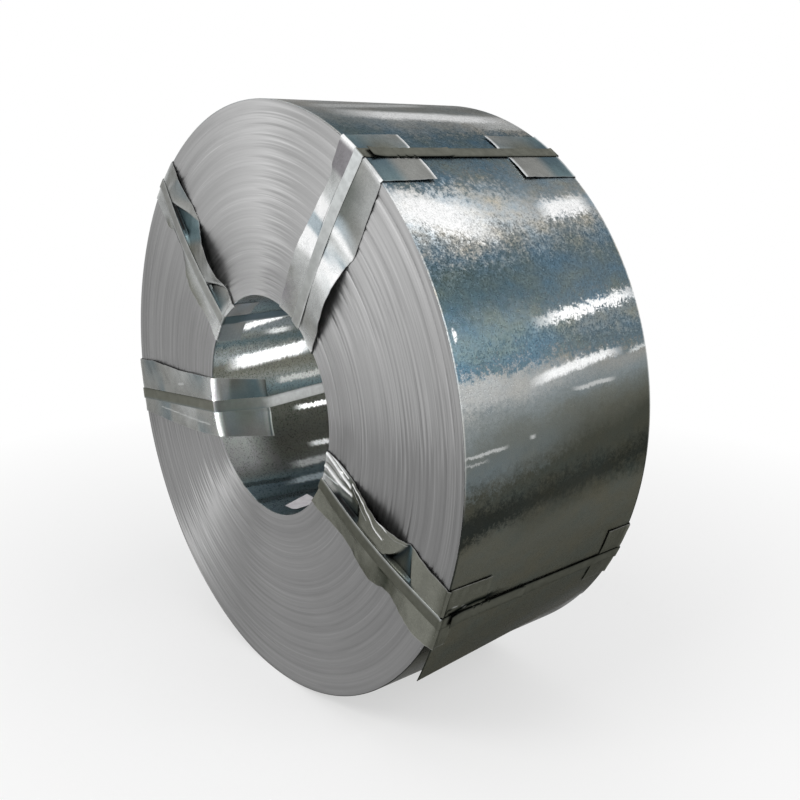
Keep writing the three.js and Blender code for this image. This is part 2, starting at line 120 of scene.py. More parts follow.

# The straps and their guards. angle is where a strap crosses the rim, lean how far it has slid sideways at
# the eye in front and behind, bow how far its guards push it out, shift where the guards' middle lies beside
# it at the rim and at the eye. slip is how far the strap and the front guard's tab run on sideways in the
# eye, eye_tab that tab's length, eye_cut the share cut off its over and under corners, rim_tabs the front
# guard's over and under tab and the back guard's. gaps are stretches beside a strap where the sheet stands
# up against its edge, and there a painted shade darkens the sheet next to the strap. fan bends the folds of
# the over half.
#
# over and under list the folds of a free half, from rim to eye: place (0 at the rim, 1 at the eye, below 0
# on the rim tab, above 1 on the eye tab), height off the steel in millimetres, shade, which is a painted
# reflection or painted shadow, and how far the free edge strays outward in millimetres. A pair is the value
# at the strap and at the free edge.
USUAL = dict(slip=(0, 0), eye_tab=0.165, eye_cut=(0, 0), rim_tabs=(0.14, 0.14, 0.14, 0.14), gaps={}, fan=1.0)
STRAPS = {
    "upper_left": dict(
        USUAL, angle=133.75, lean=(0.0136, 0.004), bow=0.011, shift=(-0.01, 0.0036), eye_tab=0.068,
        gaps={UNDER: (0.16, 0.44)},
        over=[
            (-1, 1, "pale", -11), (-0.05, 0, ("grey", "pale"), -11), (0, 0, "silver", -11),
            (0.06, 2, "pale", -10), (0.15, (4, 3), "pale", -14), (0.23, 7, ("pale", "olive"), -20),
            (0.31, (9, 1), "pale", -28), (0.42, (10, 1), "pale", -27),
            (0.49, (11, 6), ("pale", "grey"), -22), (0.6, (10, 15), ("pale", "olive"), -16),
            (0.67, (9, 18), ("pale", "olive"), -14), (0.78, (7, 15), ("pale", "olive"), -17),
            (0.87, (4, 9), ("pale", "grey"), -17), (0.93, (2, 5), "pale", -13), (1, 0, "silver", 2),
            (1.1, 0, "fog", 8), (2, 1, ("grey", "fog"), 9),
        ],
        under=[
            (-1, 1, "pale"), (-0.05, 0, "pale"), (0, 0, ("silver", "pale")), ((0.07, 0.05), 3, "grey"),
            ((0.085, 0.11), (4, 5), ("pale", "grey")), ((0.11, 0.15), (5, 6), ("grey", "fog")),
            ((0.13, 0.24), (7, 3), ("grey", "fog")), ((0.15, 0.34), (8, 0), "grey", 4),
            ((0.168, 0.43), (9, 0), ("pale", "grey"), 2), ((0.185, 0.448), 1, ("night", "teal")),
            ((0.4, 0.49), (2, 7), ("pool", "teal")), ((0.45, 0.54), (6, 13), "teal"),
            ((0.52, 0.61), (11, 20), ("olive", "grey")), ((0.65, 0.69), (13, 24), "grey"),
            ((0.72, 0.75), (13, 24), ("grey", "pale")), ((0.745, 0.82), (13, 20), ("pale", "grey")),
            ((0.757, 0.885), (12, 7), ("pale", "silver"), -1),
            ((0.775, 0.9), (1, 3), ("night", "grey"), -2), ((0.93, 0.95), (1, 2), ("pool", "grey"), -5),
            (1, (0, 3), "silver", -8), (1.1, 0, "pale", -8), (1.5, 0, ("grey", "frost"), -8),
            (2, 1, "pale", -8),
        ],
    ),
    "upper_right": dict(
        USUAL, angle=56.35, lean=(0, 0), bow=0.01, shift=(-0.0085, -0.006),
        rim_tabs=(0.131, 0.131, 0.156, 0.15), gaps={UNDER: (0.48, 0.95)},
        over=[
            (-1, (1, 2), "white"), (-0.97, (1, 2), ("fog", "grey")), (-0.5, (0, 1), ("olive", "fog")),
            (-0.05, 0, ("slate", "teal")), (0, 0, "white"), (0.03, 1, "ash"), (0.14, (4, 0), "ash", -2),
            (0.18, (5, 0), ("silver", "pale"), -9), ((0.28, 0.27), (6, 0), ("mist", "silver"), -6),
            (0.33, (7, 0), "white", -2), (0.39, (8, 1), "white"), (0.42, (8, 3), "frost"),
            (0.47, (9, 6), "frost"), (0.5, (10, 8), "white"), (0.58, (11, 12), "white"),
            (0.63, (11, 14), "silver"), (0.7, (10, 13), "pale"), (0.74, (9, 12), ("pale", "grey")),
            (0.9, (4, 7), ("grey", "ash")), (1, (0, 2), ("grey", "pale")), (1.1, 0, "teal"), (2, 1, "teal"),
        ],
        under=[
            (-1, (1, 3), "white"), (-0.97, (1, 3), "grey"), (-0.55, (0, 1), "grey"),
            (-0.3, (0, 1), ("slate", "teal")), (-0.05, 0, ("slate", "teal")),
            (0, 0, ("silver", "white"), 1), (0.03, (1, 0), ("grey", "pale"), 3),
            ((0.17, 0.18), (3, 0), ("lead", "pale"), 5), ((0.28, 0.3), (3, 0), ("lead", "grey"), 8),
            ((0.345, 0.37), (4, 0), ("frost", "pale"), 11), ((0.385, 0.4), (9, 0), "white", 9),
            ((0.42, 0.44), (12, 0), ("silver", "mist"), 3), ((0.46, 0.47), (14, 3), ("mist", "frost")),
            (0.5, (16, 7), ("frost", "white")), ((0.54, 0.55), (17, 13), "white"),
            (0.6, 17, ("white", "mist")), ((0.68, 0.67), (16, 20), "silver"),
            ((0.8, 0.79), (11, 15), "pale"), ((0.9, 0.88), 7, "grey"), (1, (0, 2), ("pale", "silver")),
            (1.1, 0, "teal"), (2, 1, "teal"),
        ],
    ),
    "lower_right": dict(
        USUAL, angle=-25.8, lean=(-0.013, -0.004), bow=0.012, shift=(0.0075, -0.003),
        rim_tabs=(0.11, 0.033, 0.068, 0.078), gaps={OVER: (0.66, 0.9)}, fan=0.5,
        over=[
            (-1, (0, 1), "moss"), (-0.97, (0, 1), "moss"), (-0.05, 0, "moss"), (0, (0, 1), "moss"),
            (0.07, 2, "olive"), (0.14, (5, 3), "olive"), ((0.175, 0.21), (8, 1), "olive"),
            ((0.192, 0.262), (9, 1), "olive", 5), ((0.207, 0.285), (2, 1), ("deep", "pool"), 5),
            ((0.33, 0.292), (1, 0), ("floor", "deep"), 5), ((0.445, 0.298), (2, 0), ("night", "deep"), 4),
            ((0.46, 0.315), (12, 2), "olive"), ((0.49, 0.36), (13, 11), "olive"),
            ((0.53, 0.42), (14, 19), "olive"), ((0.58, 0.49), (14, 23), "olive"),
            ((0.61, 0.57), (13, 18), "olive"), ((0.635, 0.64), 12, ("moss", "olive")),
            ((0.655, 0.7), (2, 7), ("deep", "moss")), ((0.8, 0.755), 1, ("deep", "moss")),
            ((0.87, 0.79), (2, 0), ("deep", "lead"), 1), ((0.905, 0.86), (5, 2), ("grey", "pale"), 5),
            ((0.95, 0.94), (3, 1), ("pale", "grey"), 4), (1, (0, 1), ("silver", "pale")), (1.1, 0, "grey"),
            (2, 1, "teal"),
        ],
        under=[
            (-1, 0, "moss"), (-0.05, 0, "moss"), (0, 0, "moss"), ((0.04, 0.037), (2, 8), "olive"),
            (0.1, (4, 13), "olive"), ((0.165, 0.163), (6, 11), "olive"), ((0.21, 0.215), 7, "olive"),
            ((0.27, 0.275), (7, 1), "olive", -1), ((0.33, 0.335), (6, 0), "moss", -6),
            ((0.37, 0.375), (8, 1), "floor", -4), (0.41, (10, 8), ("floor", "moss")),
            (0.45, (12, 14), "moss"), (0.52, (12, 11), ("olive", "moss")), (0.59, (11, 5), "olive"),
            (0.65, (9, 0), "olive", -1), (0.73, (7, 0), "olive", -6), (0.82, (5, 0), "olive", -4),
            (0.88, (3, 1), "olive"), (0.94, (2, 3), "olive"), (1, (0, 1), "olive"), (1.1, 0, "moss"),
            (2, 1, "moss"),
        ],
    ),
    "left": dict(
        USUAL, angle=-171.5, lean=(0.016, 0.004), bow=0, shift=(-0.025, 0.016), slip=(0.013, 0.024),
        eye_tab=0.154, eye_cut=(0.07, 0.03),
        over=[
            (-1, 1, "pale"), (-0.05, 0, "pale"), (0, 0, "grey", 4), (0.1, (0, 1), "grey", 5),
            (0.35, (0, 3), "fog", 8), (0.42, (0, 3), "grey", 8), (0.6, (1, 4), ("pale", "grey"), 9),
            (0.72, (1, 4), ("pale", "grey"), 9), (0.78, (1, 3), ("grey", "fog"), 8), (0.96, 0, "grey", 4),
            (0.985, 0, ("pale", "silver"), 3), (1, (0, 1), "white", 3), ((1.07, 1.06), (0, 1), "white", 3),
            ((1.11, 1.1), 0, ("fog", "grey"), 3), (1.2, 0, "fog", 3),
            ((1.6, 1.55), (0, 2), ("lead", "grey"), 3), (1.85, (0, 1), ("fog", "grey"), 3),
            (1.92, 0, "pale", 3), (1.94, 0, "pool", 3), (1.97, 0, "pool", 3), (2, (0, 1), "white", 3),
        ],
        under=[
            (-1, 1, "pale"), (-0.05, 0, "grey"), (0, (0, 2), "grey"), (0.12, (0, 3), ("grey", "fog"), 2),
            (0.2, (1, 4), ("grey", "fog"), 5), (0.3, (0, 7), ("fog", "grey"), 4), (0.36, (0, 5), "grey", 2),
            (0.6, (0, 4), ("grey", "pale"), -2), (0.85, (0, 3), ("grey", "fog")), (0.975, 0, "pale"),
            (1, (0, 1), ("mist", "white")), ((1.07, 1.05), (0, 1), "white"), ((1.11, 1.09), 0, "grey"),
            ((1.2, 1.24), 0, ("fog", "grey")), ((1.34, 1.38), (0, 1), ("pool", "moss")),
            ((1.88, 1.8), (0, 1), "pool"), ((1.94, 1.9), 0, ("pool", "lead")),
            (2, (0, 1), ("deep", "floor")),
        ],
    ),
}
# Creases across the folds of a front guard: side, the line's places and shares of the way to the free edge,
# half width and height in millimetres, and shade: a painted highlight on a ridge or painted shade in a
# hollow, and on lower_right's rim tab a painted shadow of the gap below the strap.
CREASES = {
    "lower_right": [
        (OVER, [(0.995, 0.28), (0.9, 0.3), (0.82, 0.24), (0.75, 0.36)], 7, 0.5, "lead"),
        (OVER, [(0.8, 0.6), (0.7, 0.55), (0.62, 0.6)], 5, 0, "moss"),
        (OVER, [(1.01, 0.96), (0.94, 0.84), (0.88, 0.79), (0.83, 0.74), (0.775, 0.72)], 5.4, 2, "white"),
        (OVER, [(0.95, 1), (0.87, 0.93), (0.8, 0.9)], 3, 1.2, "white"),
        (OVER, [(0.91, 0.9), (0.86, 0.86), (0.8, 0.83)], 1.5, -1, "moss"),
        (OVER, [(1, 0.5), (0.94, 0.47), (0.89, 0.47), (0.83, 0.44), (0.755, 0.52)], 5.4, 1.8, "white"),
        (OVER, [(0.99, 0.64), (0.92, 0.62), (0.85, 0.58), (0.79, 0.61)], 2, -1.2, "moss"),
        (OVER, [(1.01, 0.16), (0.93, 0.28), (0.865, 0.37)], 1.8, 0.8, "mist"),
        (OVER, [(0.76, 0.88), (0.67, 0.88), (0.61, 0.86), (0.545, 0.74), (0.49, 0.58),
               (0.445, 0.52)], 3.2, 1.5, "white"),
        (OVER, [(0.75, 0.76), (0.71, 0.66), (0.645, 0.61), (0.58, 0.52)], 1.4, 0.8, "silver"),
        (OVER, [(0.5, 1), (0.45, 0.97), (0.42, 0.92)], 2.4, 1.2, "white"),
        (OVER, [(0.42, 0.92), (0.38, 0.83), (0.31, 0.9)], 1.2, 0.8, "grey"),
        (OVER, [(-0.05, 0.1), (-0.12, 0.22), (-0.2, 0.16)], 4, 0, "night"),
        (OVER, [(-0.2, 0), (-0.5, 0.12), (-0.75, 0.16), (-1, 0.14)], 10, -0.4, "night"),
        (OVER, [(-0.2, 0.26), (-0.32, 0.24)], 1.8, 0.5, "pale"),
        (OVER, [(-0.42, 0.22), (-0.5, 0.1)], 1.6, 0.5, "grey"),
    ],
    "upper_left": [
        (OVER, [(1, 0.5), (0.9, 0.35), (0.82, 0.3)], 1.5, 0.6, "silver"),
    ],
    "left": [
        (OVER, [(0.25, 0.3), (0.55, 0.42), (0.9, 0.55)], 2.5, 0.8, "silver"),
        (UNDER, [(0.55, 0.4), (0.62, 0.45)], 4, 0.8, "silver"),
    ],
}
# Painted shades of each strap's face, over edge and under edge, reflections and edge highlights: on the ends
# by the rim and by the eye, on the guard's tab in the eye, farther in, and over the rim.
STRAP_PAINTED_SHADES = {
    "upper_left": [
        ("grey", "silver", "pale"), ("grey", "mist", "silver"), ("pool", "pool", "pool"),
        ("slate", "white", "slate"), ("grey", "grey", "grey"),
    ],
    "upper_right": [
        ("mist", "mist", "silver"), ("grey", "pale", "silver"), ("teal", "slate", "slate"),
        ("teal", "slate", "slate"), ("olive", "olive", "coal"),
    ],
    "lower_right": [
        ("moss", "mist", "moss"), ("moss", "silver", "moss"), ("teal", "slate", "slate"),
        ("teal", "slate", "slate"), ("moss", "coal", "floor"),
    ],
    "left": [
        ("olive", "fog", "moss"), ("olive", "fog", "moss"), ("lead", "pool", "lead"),
        ("pale", "grey", "deep"), ("grey", "grey", "grey"),
    ],
}

Fold = namedtuple("Fold", "place height shade stray")


def pair(value):
    """A value at the strap and at the free edge: one that is the same at both is given once."""
    return value if isinstance(value, tuple) else (value, value)


def fold(place, height, shade, stray=0):
    return Fold(pair(place), pair(height), pair(shade), pair(stray))


for strap in STRAPS.values():
    for half in ("over", "under"):
        strap[half] = [fold(*row) for row in strap[half]]


# ---------------------------------------------------------------- mesh helpers
def mesh_piece(name, points, quads, material, nodes, smooth):
    """One mesh from an (n, 3) array and an (m, 4) array, shaded smooth below an edge angle."""
    mesh = bpy.data.meshes.new(name)
    mesh.from_pydata(points.tolist(), [], quads.tolist())
    mesh.validate()
    mesh.materials.append(material)
    piece = bpy.data.objects.new(name, mesh)
    bpy.context.scene.collection.objects.link(piece)
    mesh.polygons.foreach_set("use_smooth", np.ones(len(mesh.polygons), bool))
    mesh.set_sharp_from_angle(angle=math.radians(smooth))
    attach(piece, "root")
    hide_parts(*nodes)
    return piece


def grid_quads(rows, columns, wrap_rows=False, wrap_columns=False):
    """The quads of a grid of points numbered row by row, optionally closed on itself."""
    row = np.arange(rows if wrap_rows else rows - 1)
    column = np.arange(columns if wrap_columns else columns - 1)
    r, c = np.meshgrid(row, column, indexing="ij")
    r2, c2 = (r + 1) % rows, (c + 1) % columns
    corners = [r * columns + c, r2 * columns + c, r2 * columns + c2, r * columns + c2]
    return np.stack(corners, -1).reshape(-1, 4)


def closed_sheet(inner, outer):
    """Points and quads of a sheet between two grids: both faces, and a wall round the four edges."""
    rows, columns = inner.shape[:2]
    count = rows * columns
    points = np.concatenate([inner.reshape(-1, 3), outer.reshape(-1, 3)])
    near = grid_quads(rows, columns)
    far = (near + count)[:, ::-1]
    index = np.arange(count).reshape(rows, columns)
    ring = np.concatenate([index[:, 0], index[-1, 1:], index[-2::-1, -1], index[0, -2:0:-1]])
    after = np.roll(ring, -1)
    wall = np.stack([after, ring, ring + count, after + count], -1)
    return points, np.concatenate([near, far, wall])


def outward(points, quads):
    """The same quads, turned round if the closed surface they make has a negative volume."""
    a, b, c, d = (points[quads[:, k]] for k in range(4))
    volume = np.einsum("ij,ij->", a, np.cross(b, c)) + np.einsum("ij,ij->", a, np.cross(c, d))
    return quads if volume > 0 else quads[:, ::-1]


def polar(radius, angle, along):
    """Points at a radius and angle (radians) round the eye, at a distance along it."""
    radius, angle, along = np.broadcast_arrays(radius, angle, along)
    return np.stack([radius * np.cos(angle), along, MID_HEIGHT + radius * np.sin(angle)], -1)


def ramp(value, begin, finish):
    """0 up to the beginning, 1 from the finish on, straight between."""
    return np.clip((value - begin) / (finish - begin), 0, 1)


def ease(share):
    """A smoothed 0 to 1: three times the square less twice the cube."""
    return share * share * (3 - 2 * share)


def hump(distance, width):
    """1 at no distance, falling away as a bell curve."""
    return np.exp(-(distance / width) ** 2)


# ---------------------------------------------------------------- the wound body
def turn_setbacks():
    """How far each band of turns stands back from the end: a seeded random walk, kept shallow."""
    walk = np.cumsum(SHUFFLE.normal(0, TURN_STRAY, TURNS_SHOWN))
    walk -= np.linspace(walk[0], walk[-1], TURNS_SHOWN)
    jitter = np.abs(SHUFFLE.normal(0, TURN_STRAY, TURNS_SHOWN))
    return np.clip(np.abs(walk) * 0.6 + jitter, 0, DEEPEST_TURN)


def wound_end(end, angles):
    """Radius and distance along the eye of each turn's two edges, for every angle round the end.
    A turn's edge is flat and its setback drifts slowly round the eye as a sum of two sines."""
    widths = np.r_[0, SHUFFLE.uniform(*TURN_WIDTHS, TURNS_SHOWN)]
    bounds = RIM - GAUGE - UNDER_WRAP_GAP - np.cumsum(widths)
    top = bounds[0]
    bounds = top - (top - bounds) * (top - EYE) / (top - bounds[-1])
    outer, inner = bounds[:-1], bounds[1:]
    lip = (outer - inner) * TURN_LIP
    radius = np.stack([outer - lip, inner + lip], 1).reshape(-1)
    radius[0], radius[-1] = top, EYE
    drift = SHUFFLE.uniform(0, 2 * np.pi, (2, TURNS_SHOWN, 1))
    wave = np.sin(angles + drift[0]) + 0.6 * np.sin(3 * angles + drift[1])
    setback = turn_setbacks()[:, None] * (1 + 0.35 * wave)
    along = end * (HALF_WIDTH - np.repeat(setback, 2, 0))
    return np.broadcast_to(radius[:, None], along.shape), along


def build_wound_body(ends, eye, outside):
    """Every turn but the outermost, as one closed ring: front end, eye, back end and covered outer side."""
    angles = np.linspace(0, 2 * np.pi, COIL_SEGMENTS, endpoint=False)[None]
    front_radius, front_along = wound_end(FRONT, angles)
    back_radius, back_along = wound_end(BACK, angles)
    radius = np.concatenate([front_radius, back_radius[::-1]])
    along = np.concatenate([front_along, back_along[::-1]])
    points = polar(radius, angles, along).reshape(-1, 3)
    quads = grid_quads(len(radius), COIL_SEGMENTS, wrap_rows=True, wrap_columns=True)
    piece = mesh_piece("wound_strip", points, outward(points, quads), ends, ["coil"],
                       smooth=50)
    piece.data.materials.append(eye)
    piece.data.materials.append(outside)
    centre = points[quads].mean(1)
    reach = np.hypot(centre[:, 0], centre[:, 2] - MID_HEIGHT)
    between_ends = np.abs(centre[:, 1]) < HALF_WIDTH - 0.01
    in_eye, covered = between_ends & (reach < EYE + 0.001), between_ends & (reach > RIM - 0.01)
    which = np.where(in_eye, 1, np.where(covered, 2, 0))
    piece.data.polygons.foreach_set("material_index", which.astype(np.int32))


# ---------------------------------------------------------------- the outermost wrap and its loose end
def tail_start():
    return math.radians(STRAPS[TAIL_STRAP]["angle"]) + TAIL_LEAD / RIM


def tail_lift(run, across):
    """How far the loose end stands off the coil: a power of the run from where it leaves, with the lift at
    its end falling in a straight line from the front corner to the back corner."""
    corner = TAIL_LIFT + (TAIL_BACK_LIFT - TAIL_LIFT) * (across + 1) / 2
    return corner * np.clip(run / TAIL_LENGTH, 0, 1) ** TAIL_CURL


def seat_lift(angle, across):
    """How far the steel stands off the round rim at an angle and a share of the half width."""
    run = (tail_start() - angle) * RIM
    return np.where((run > 0) & (run < TAIL_LENGTH), tail_lift(np.clip(run, 0, None), across), 0.0)


def build_outer_wrap(material):
    """The outermost wrap: once round the coil at the rim's radius, then off it by the loose end's lift.
    Both edges stray by a sum of sines."""
    leaves = tail_start()
    round_rim = np.linspace(leaves + 2 * math.pi - math.radians(3), leaves, COIL_SEGMENTS)
    loose = leaves - np.linspace(0, TAIL_LENGTH / RIM, 60)[1:]
    sweep = np.concatenate([round_rim, loose])[:, None]
    across = np.linspace(-1, 1, 31)[None]
    run = (leaves - sweep) * RIM
    stray = 0.0003 * np.sin(run * 7.0) + 0.0002 * np.sin(run * 17.0 + 1.0)
    along = (HALF_WIDTH - WRAP_INSET + stray) * across
    radius = RIM + tail_lift(run, across)
    points, quads = closed_sheet(polar(radius - GAUGE, sweep, along), polar(radius, sweep, along))
    mesh_piece("outer_wrap", points, outward(points, quads), material, ["coil"], smooth=30)


# ---------------------------------------------------------------- edge guards
def srgb(value):
    """A grey or colour level from 0 to 255, as the linear number that a socket takes."""
    level = np.asarray(value, float) / 255
    return np.where(level <= 0.04045, level / 12.92, ((level + 0.055) / 1.055) ** 2.4)


def blend_folds(folds, place, share, pick, roundness, fan=1.0):
    """Carry a value from fold to fold: the first fold's value plus each step to the next, let in by a ramp
    that runs from one fold line to the other, part straight and part smoothed. A fold line leaves the strap
    by a power, the fan, of the distance towards the free edge."""
    spread = share ** fan

    def between(values, part):
        return values[0] + (values[1] - values[0]) * part

    total = between(pick(folds[0]), share)
    for before, after in zip(folds, folds[1:]):
        let_in = ramp(place, between(before.place, spread), between(after.place, spread))
        let_in = let_in * (1 - roundness) + ease(let_in) * roundness
        total = total + (between(pick(after), share) - between(pick(before), share)) * let_in
    return total


def guard_grid(strap, end):
    """The guard's own grid: place from -1 (rim tab's end) to 2 (eye tab's end) down the rows, and the
    distance from the strap's middle across the columns, closer together beside the strap. share runs from
    0 at the strap to 1 at the free edge, and side tells the halves apart. Crumpled sheet is drawn finer."""
    rim_rows = np.r_[np.linspace(-1, -0.05, 18), -0.035, -0.022, -0.014]
    face_rows = np.r_[0.005, 0.009, 0.014, np.linspace(0.02, 0.98, 150), 0.986, 0.991, 0.995]
    eye_rows = np.r_[1.012, 1.02, 1.035, np.linspace(1.05, 2.0, 26)]
    place = np.concatenate([rim_rows, face_rows, eye_rows])[:, None]
    on_face = np.clip(place, 0, 1)
    middle = strap["shift"][0] + (strap["shift"][1] - strap["shift"][0]) * on_face
    slip = strap["slip"][1] * np.clip(place - 1, 0, 1) if end == FRONT else 0.0
    line = strap["lean"][0 if end == FRONT else 1] * on_face
    columns = 40 if end == FRONT and strap["fan"] < 1 else 18
    free = np.r_[0.0, 0.02, 0.05, 0.09, 0.14, np.linspace(0.2, 0.97, columns), 1.0][None]

    def free_half(side):
        stray = blend_folds(strap["over" if side == OVER else "under"], place, np.ones((1, 1)),
                            lambda fold: fold.stray, 0.8) / 1000
        return HELD + (FREE + side * (middle - line) + stray) * free

    held = np.linspace(-HELD, HELD, 7)[1:-1][None] + np.zeros_like(place)
    lateral = np.concatenate([-free_half(UNDER)[:, ::-1], held, free_half(OVER)], 1)
    zeros = np.zeros((1, held.shape[1]))
    share = np.concatenate([free[:, ::-1], zeros, free], 1)
    side = np.concatenate([UNDER * np.ones_like(free), zeros, OVER * np.ones_like(free)], 1)
    return place, lateral + line + slip, share, side


def guard_rise(strap, place, share, side, tab):
    """Height of a guard off the steel it covers: the strap's own bow beside the strap, a half sine from rim
    to eye, giving way quickly to the folds' height, with a small bulge at each of the two bends."""
    bow = strap["bow"] * np.sin(math.pi * np.clip(place, 0, 1))
    let_in = ease(np.clip(share / 0.1, 0, 1))
    rise = bow + np.zeros(np.broadcast(place, share).shape)
    for which, folds, fan in ((OVER, strap["over"], strap["fan"]), (UNDER, strap["under"], 1.0)):
        height = blend_folds(folds, place, share, lambda fold: fold.height, 0.6, fan) / 1000
        rise = np.where(side == which, bow * (1 - let_in) + height * let_in, rise)
    to_rim = np.where(place < 0, -place * tab, place * END_REACH)
    to_eye = np.where(place > 1, (place - 1) * strap["eye_tab"], (1 - place) * END_REACH)
    bulge, reach = GUARD_BULGE
    bend = bulge * (hump(to_rim, reach) + hump(to_eye, reach))
    ripple = GUARD_RIPPLE * share * (np.sin(place * 31 + share * 3) + np.sin(place * 53 + share * 7 + 1.3))
    return rise + bend + np.maximum(ripple, 0)


def crease_mask(points, half_width, place, share, side, which):
    """How near each point lies to a line of (place, share) points, from 1 on it to 0 at the half width: the
    smoothed distance to its nearest stretch, with the sheet laid out flat in millimetres."""
    flat = np.array([END_REACH, FREE]) * 1000
    down, out = place * flat[0] + np.zeros_like(share), share * flat[1] + np.zeros_like(place)
    nearest = np.full(down.shape, np.inf)
    for start, finish in zip(points * flat, points[1:] * flat):
        run = finish - start
        part = np.clip(((down - start[0]) * run[0] + (out - start[1]) * run[1]) / (run @ run), 0, 1)
        nearest = np.minimum(nearest, np.hypot(down - start[0] - part * run[0], out - start[1] - part * run[1]))
    return np.where(side == which, ease(np.clip(1 - nearest / half_width, 0, 1)), 0.0)


def guard_shades(strap, place, share, side):
    """The painted shade of every point, the reflection or shadow each fold shows, as linear red, green and
    blue, carried between the folds.
    """
    colour = np.zeros((*np.broadcast(place, share).shape, 3))
    for channel in range(3):
        def pick(fold):
            return [float(srgb(SHADES[shade][channel])) for shade in fold.shade]
        over = blend_folds(strap["over"], place, share, pick, 1.0, strap["fan"])
        under = blend_folds(strap["under"], place, share, pick, 1.0)
        held = (over[:, :1] + under[:, :1]) / 2
        colour[..., channel] = np.where(side > 0, over, np.where(side < 0, under, held))
    return colour


def guard_layer(strap, end, grid, rise, depth, tab):
    """One face of a guard: down the rim tab, over the rim, down the end face and into the eye."""
    place, lateral, share, side = grid
    middle = math.radians(strap["angle"])
    rim_angle = middle + lateral / RIM
    eye_angle = middle + np.arcsin(lateral / EYE)
    tab_along = HALF_WIDTH + tab * np.minimum(place, 0)
    rim = RIM + OFF_RIM + seat_lift(rim_angle, end * tab_along / HALF_WIDTH) + depth
    eye = EYE - OFF_EYE - depth
    fall = np.clip(place, 0, 1)
    x = rim * np.cos(rim_angle) * (1 - fall) + eye * np.cos(eye_angle) * fall
    z = rim * np.sin(rim_angle) * (1 - fall) + eye * np.sin(eye_angle) * fall
    scale = (1 + np.where(place < 0, rise, 0) / RIM) * (1 - np.where(place > 1, rise, 0) / EYE)
    face = HALF_WIDTH + CLEAR + depth + rise
    over_cut, under_cut = strap["eye_cut"]
    eye_tab = strap["eye_tab"] * (1 - share * np.where(side > 0, over_cut, under_cut))
    along = np.where(place < 0, tab_along, np.where(place > 1, HALF_WIDTH - eye_tab * (place - 1), face))
    return np.stack([x * scale, end * np.broadcast_to(along, x.shape), MID_HEIGHT + z * scale], -1)


def paint(piece, colours):
    """Give a piece its shades, painted reflections, highlights and shade, as a colour attribute on its points.
    """
    layer = piece.data.color_attributes.new("shade", "FLOAT_COLOR", "POINT")
    values = np.ones((len(piece.data.vertices), 4))
    values[:, :3] = colours
    layer.data.foreach_set("color", values.reshape(-1))


def tinted(shades, mask, colour):
    """The shades, turned towards one colour where the mask is 1."""
    return shades * (1 - mask[..., None]) + colour * mask[..., None]


def build_guard(name, end, material):
    strap = STRAPS[name]
    over_tab, under_tab = strap["rim_tabs"][:2] if end == FRONT else strap["rim_tabs"][2:]
    grid = guard_grid(strap, end)
    place, _, share, side = grid
    tab = np.where(side > 0, over_tab, np.where(side < 0, under_tab, (over_tab + under_tab) / 2))
    rise = guard_rise(strap, place, share, side, tab)
    creases = [(crease_mask(np.array(points), half_width, place, share, side, which), height, shade)
               for which, points, half_width, height, shade in CREASES.get(name, []) if end == FRONT]
    for mask, height, _ in creases:
        rise = np.maximum(rise + mask * height / 1000, 0)
    layers = [guard_layer(strap, end, grid, rise, depth, tab) for depth in (0.0, GUARD_GAUGE)]
    points, quads = closed_sheet(*layers)
    label = f"{'front' if end == FRONT else 'back'}_{name}"
    piece = mesh_piece(f"guard_{label}", points, outward(points, quads), material,
                       [f"edge_guard_{label}"], smooth=40)
    shades = guard_shades(strap, place, share, side)
    # A painted highlight along the guard's cut edge.
    shades = tinted(shades, 0.5 * ramp(share, 0.965, 1.0), srgb(EDGE_PAINTED_GLINT))
    # Painted highlights on crease ridges, painted shade in their hollows and in the gap below the strap.
    for mask, _, shade in creases:
        shades = tinted(shades, mask, srgb(SHADES[shade]))
    # Painted shade in the gap where the sheet stands up against the strap's edge.
    for which, (begin, finish) in strap["gaps"].items():
        inside = ramp(place, begin, begin + 0.03) * ramp(place, finish, finish - 0.06)
        beside = (side == which) & (share > 0)
        shades = tinted(shades, beside * inside * ramp(share, 0.12, 0.07), srgb(GAP_PAINTED_SHADE))
    paint(piece, np.concatenate([shades.reshape(-1, 3)] * 2))


# ---------------------------------------------------------------- straps
# A strap's section as (share of the half width, share of the thickness), and which of its points lie on
# the edge of larger angles. The section is symmetric enough to read the other edge from the mirrored list.
SECTION = np.array([(-1, 0.2), (-0.95, 0), (0.95, 0), (1, 0.2), (1, 0.8),
                    (0.9, 1), (0.5, 1.06), (-0.5, 1.06), (-0.9, 1), (-1, 0.8)])
ON_OVER_EDGE = np.array([0, 0, 1, 1, 1, 0.4, 0, 0, 0, 0])
ON_UNDER_EDGE = np.array([1, 1, 0, 0, 0, 0, 0, 0, 0.4, 1])


def strap_seats():
    """The strap's inner radius over the rim guard, its outer radius under the eye guard and its distance
    from mid-width on the ends: each a guard's thickness and a clearance off the steel."""
    face = HALF_WIDTH + GUARD_GAUGE + 2 * CLEAR
    rim = RIM + OFF_RIM + GUARD_GAUGE + CLEAR
    eye = EYE - OFF_EYE - GUARD_GAUGE - CLEAR - HELD ** 2 / (2 * EYE)
    return rim, eye, face


def rim_edges(strap, radius, along, half=STRAP_HALF):
    """The two edges of a strap over the rim, as (n, 2, 3) points with x outward through its middle, y
    along the eye and z across it. Each edge is lifted by the loose end below it."""
    across = np.array([-1.0, 1.0])[None] * np.reshape(half, (-1, 1))
    radius, along = np.reshape(radius, (-1, 1)), np.reshape(along, (-1, 1))
    lift = seat_lift(math.radians(strap["angle"]) + across / RIM, np.clip(along / HALF_WIDTH, -1, 1))
    radius, along, across = np.broadcast_arrays(radius + lift, along, across)
    return np.stack([radius, along, across], -1)


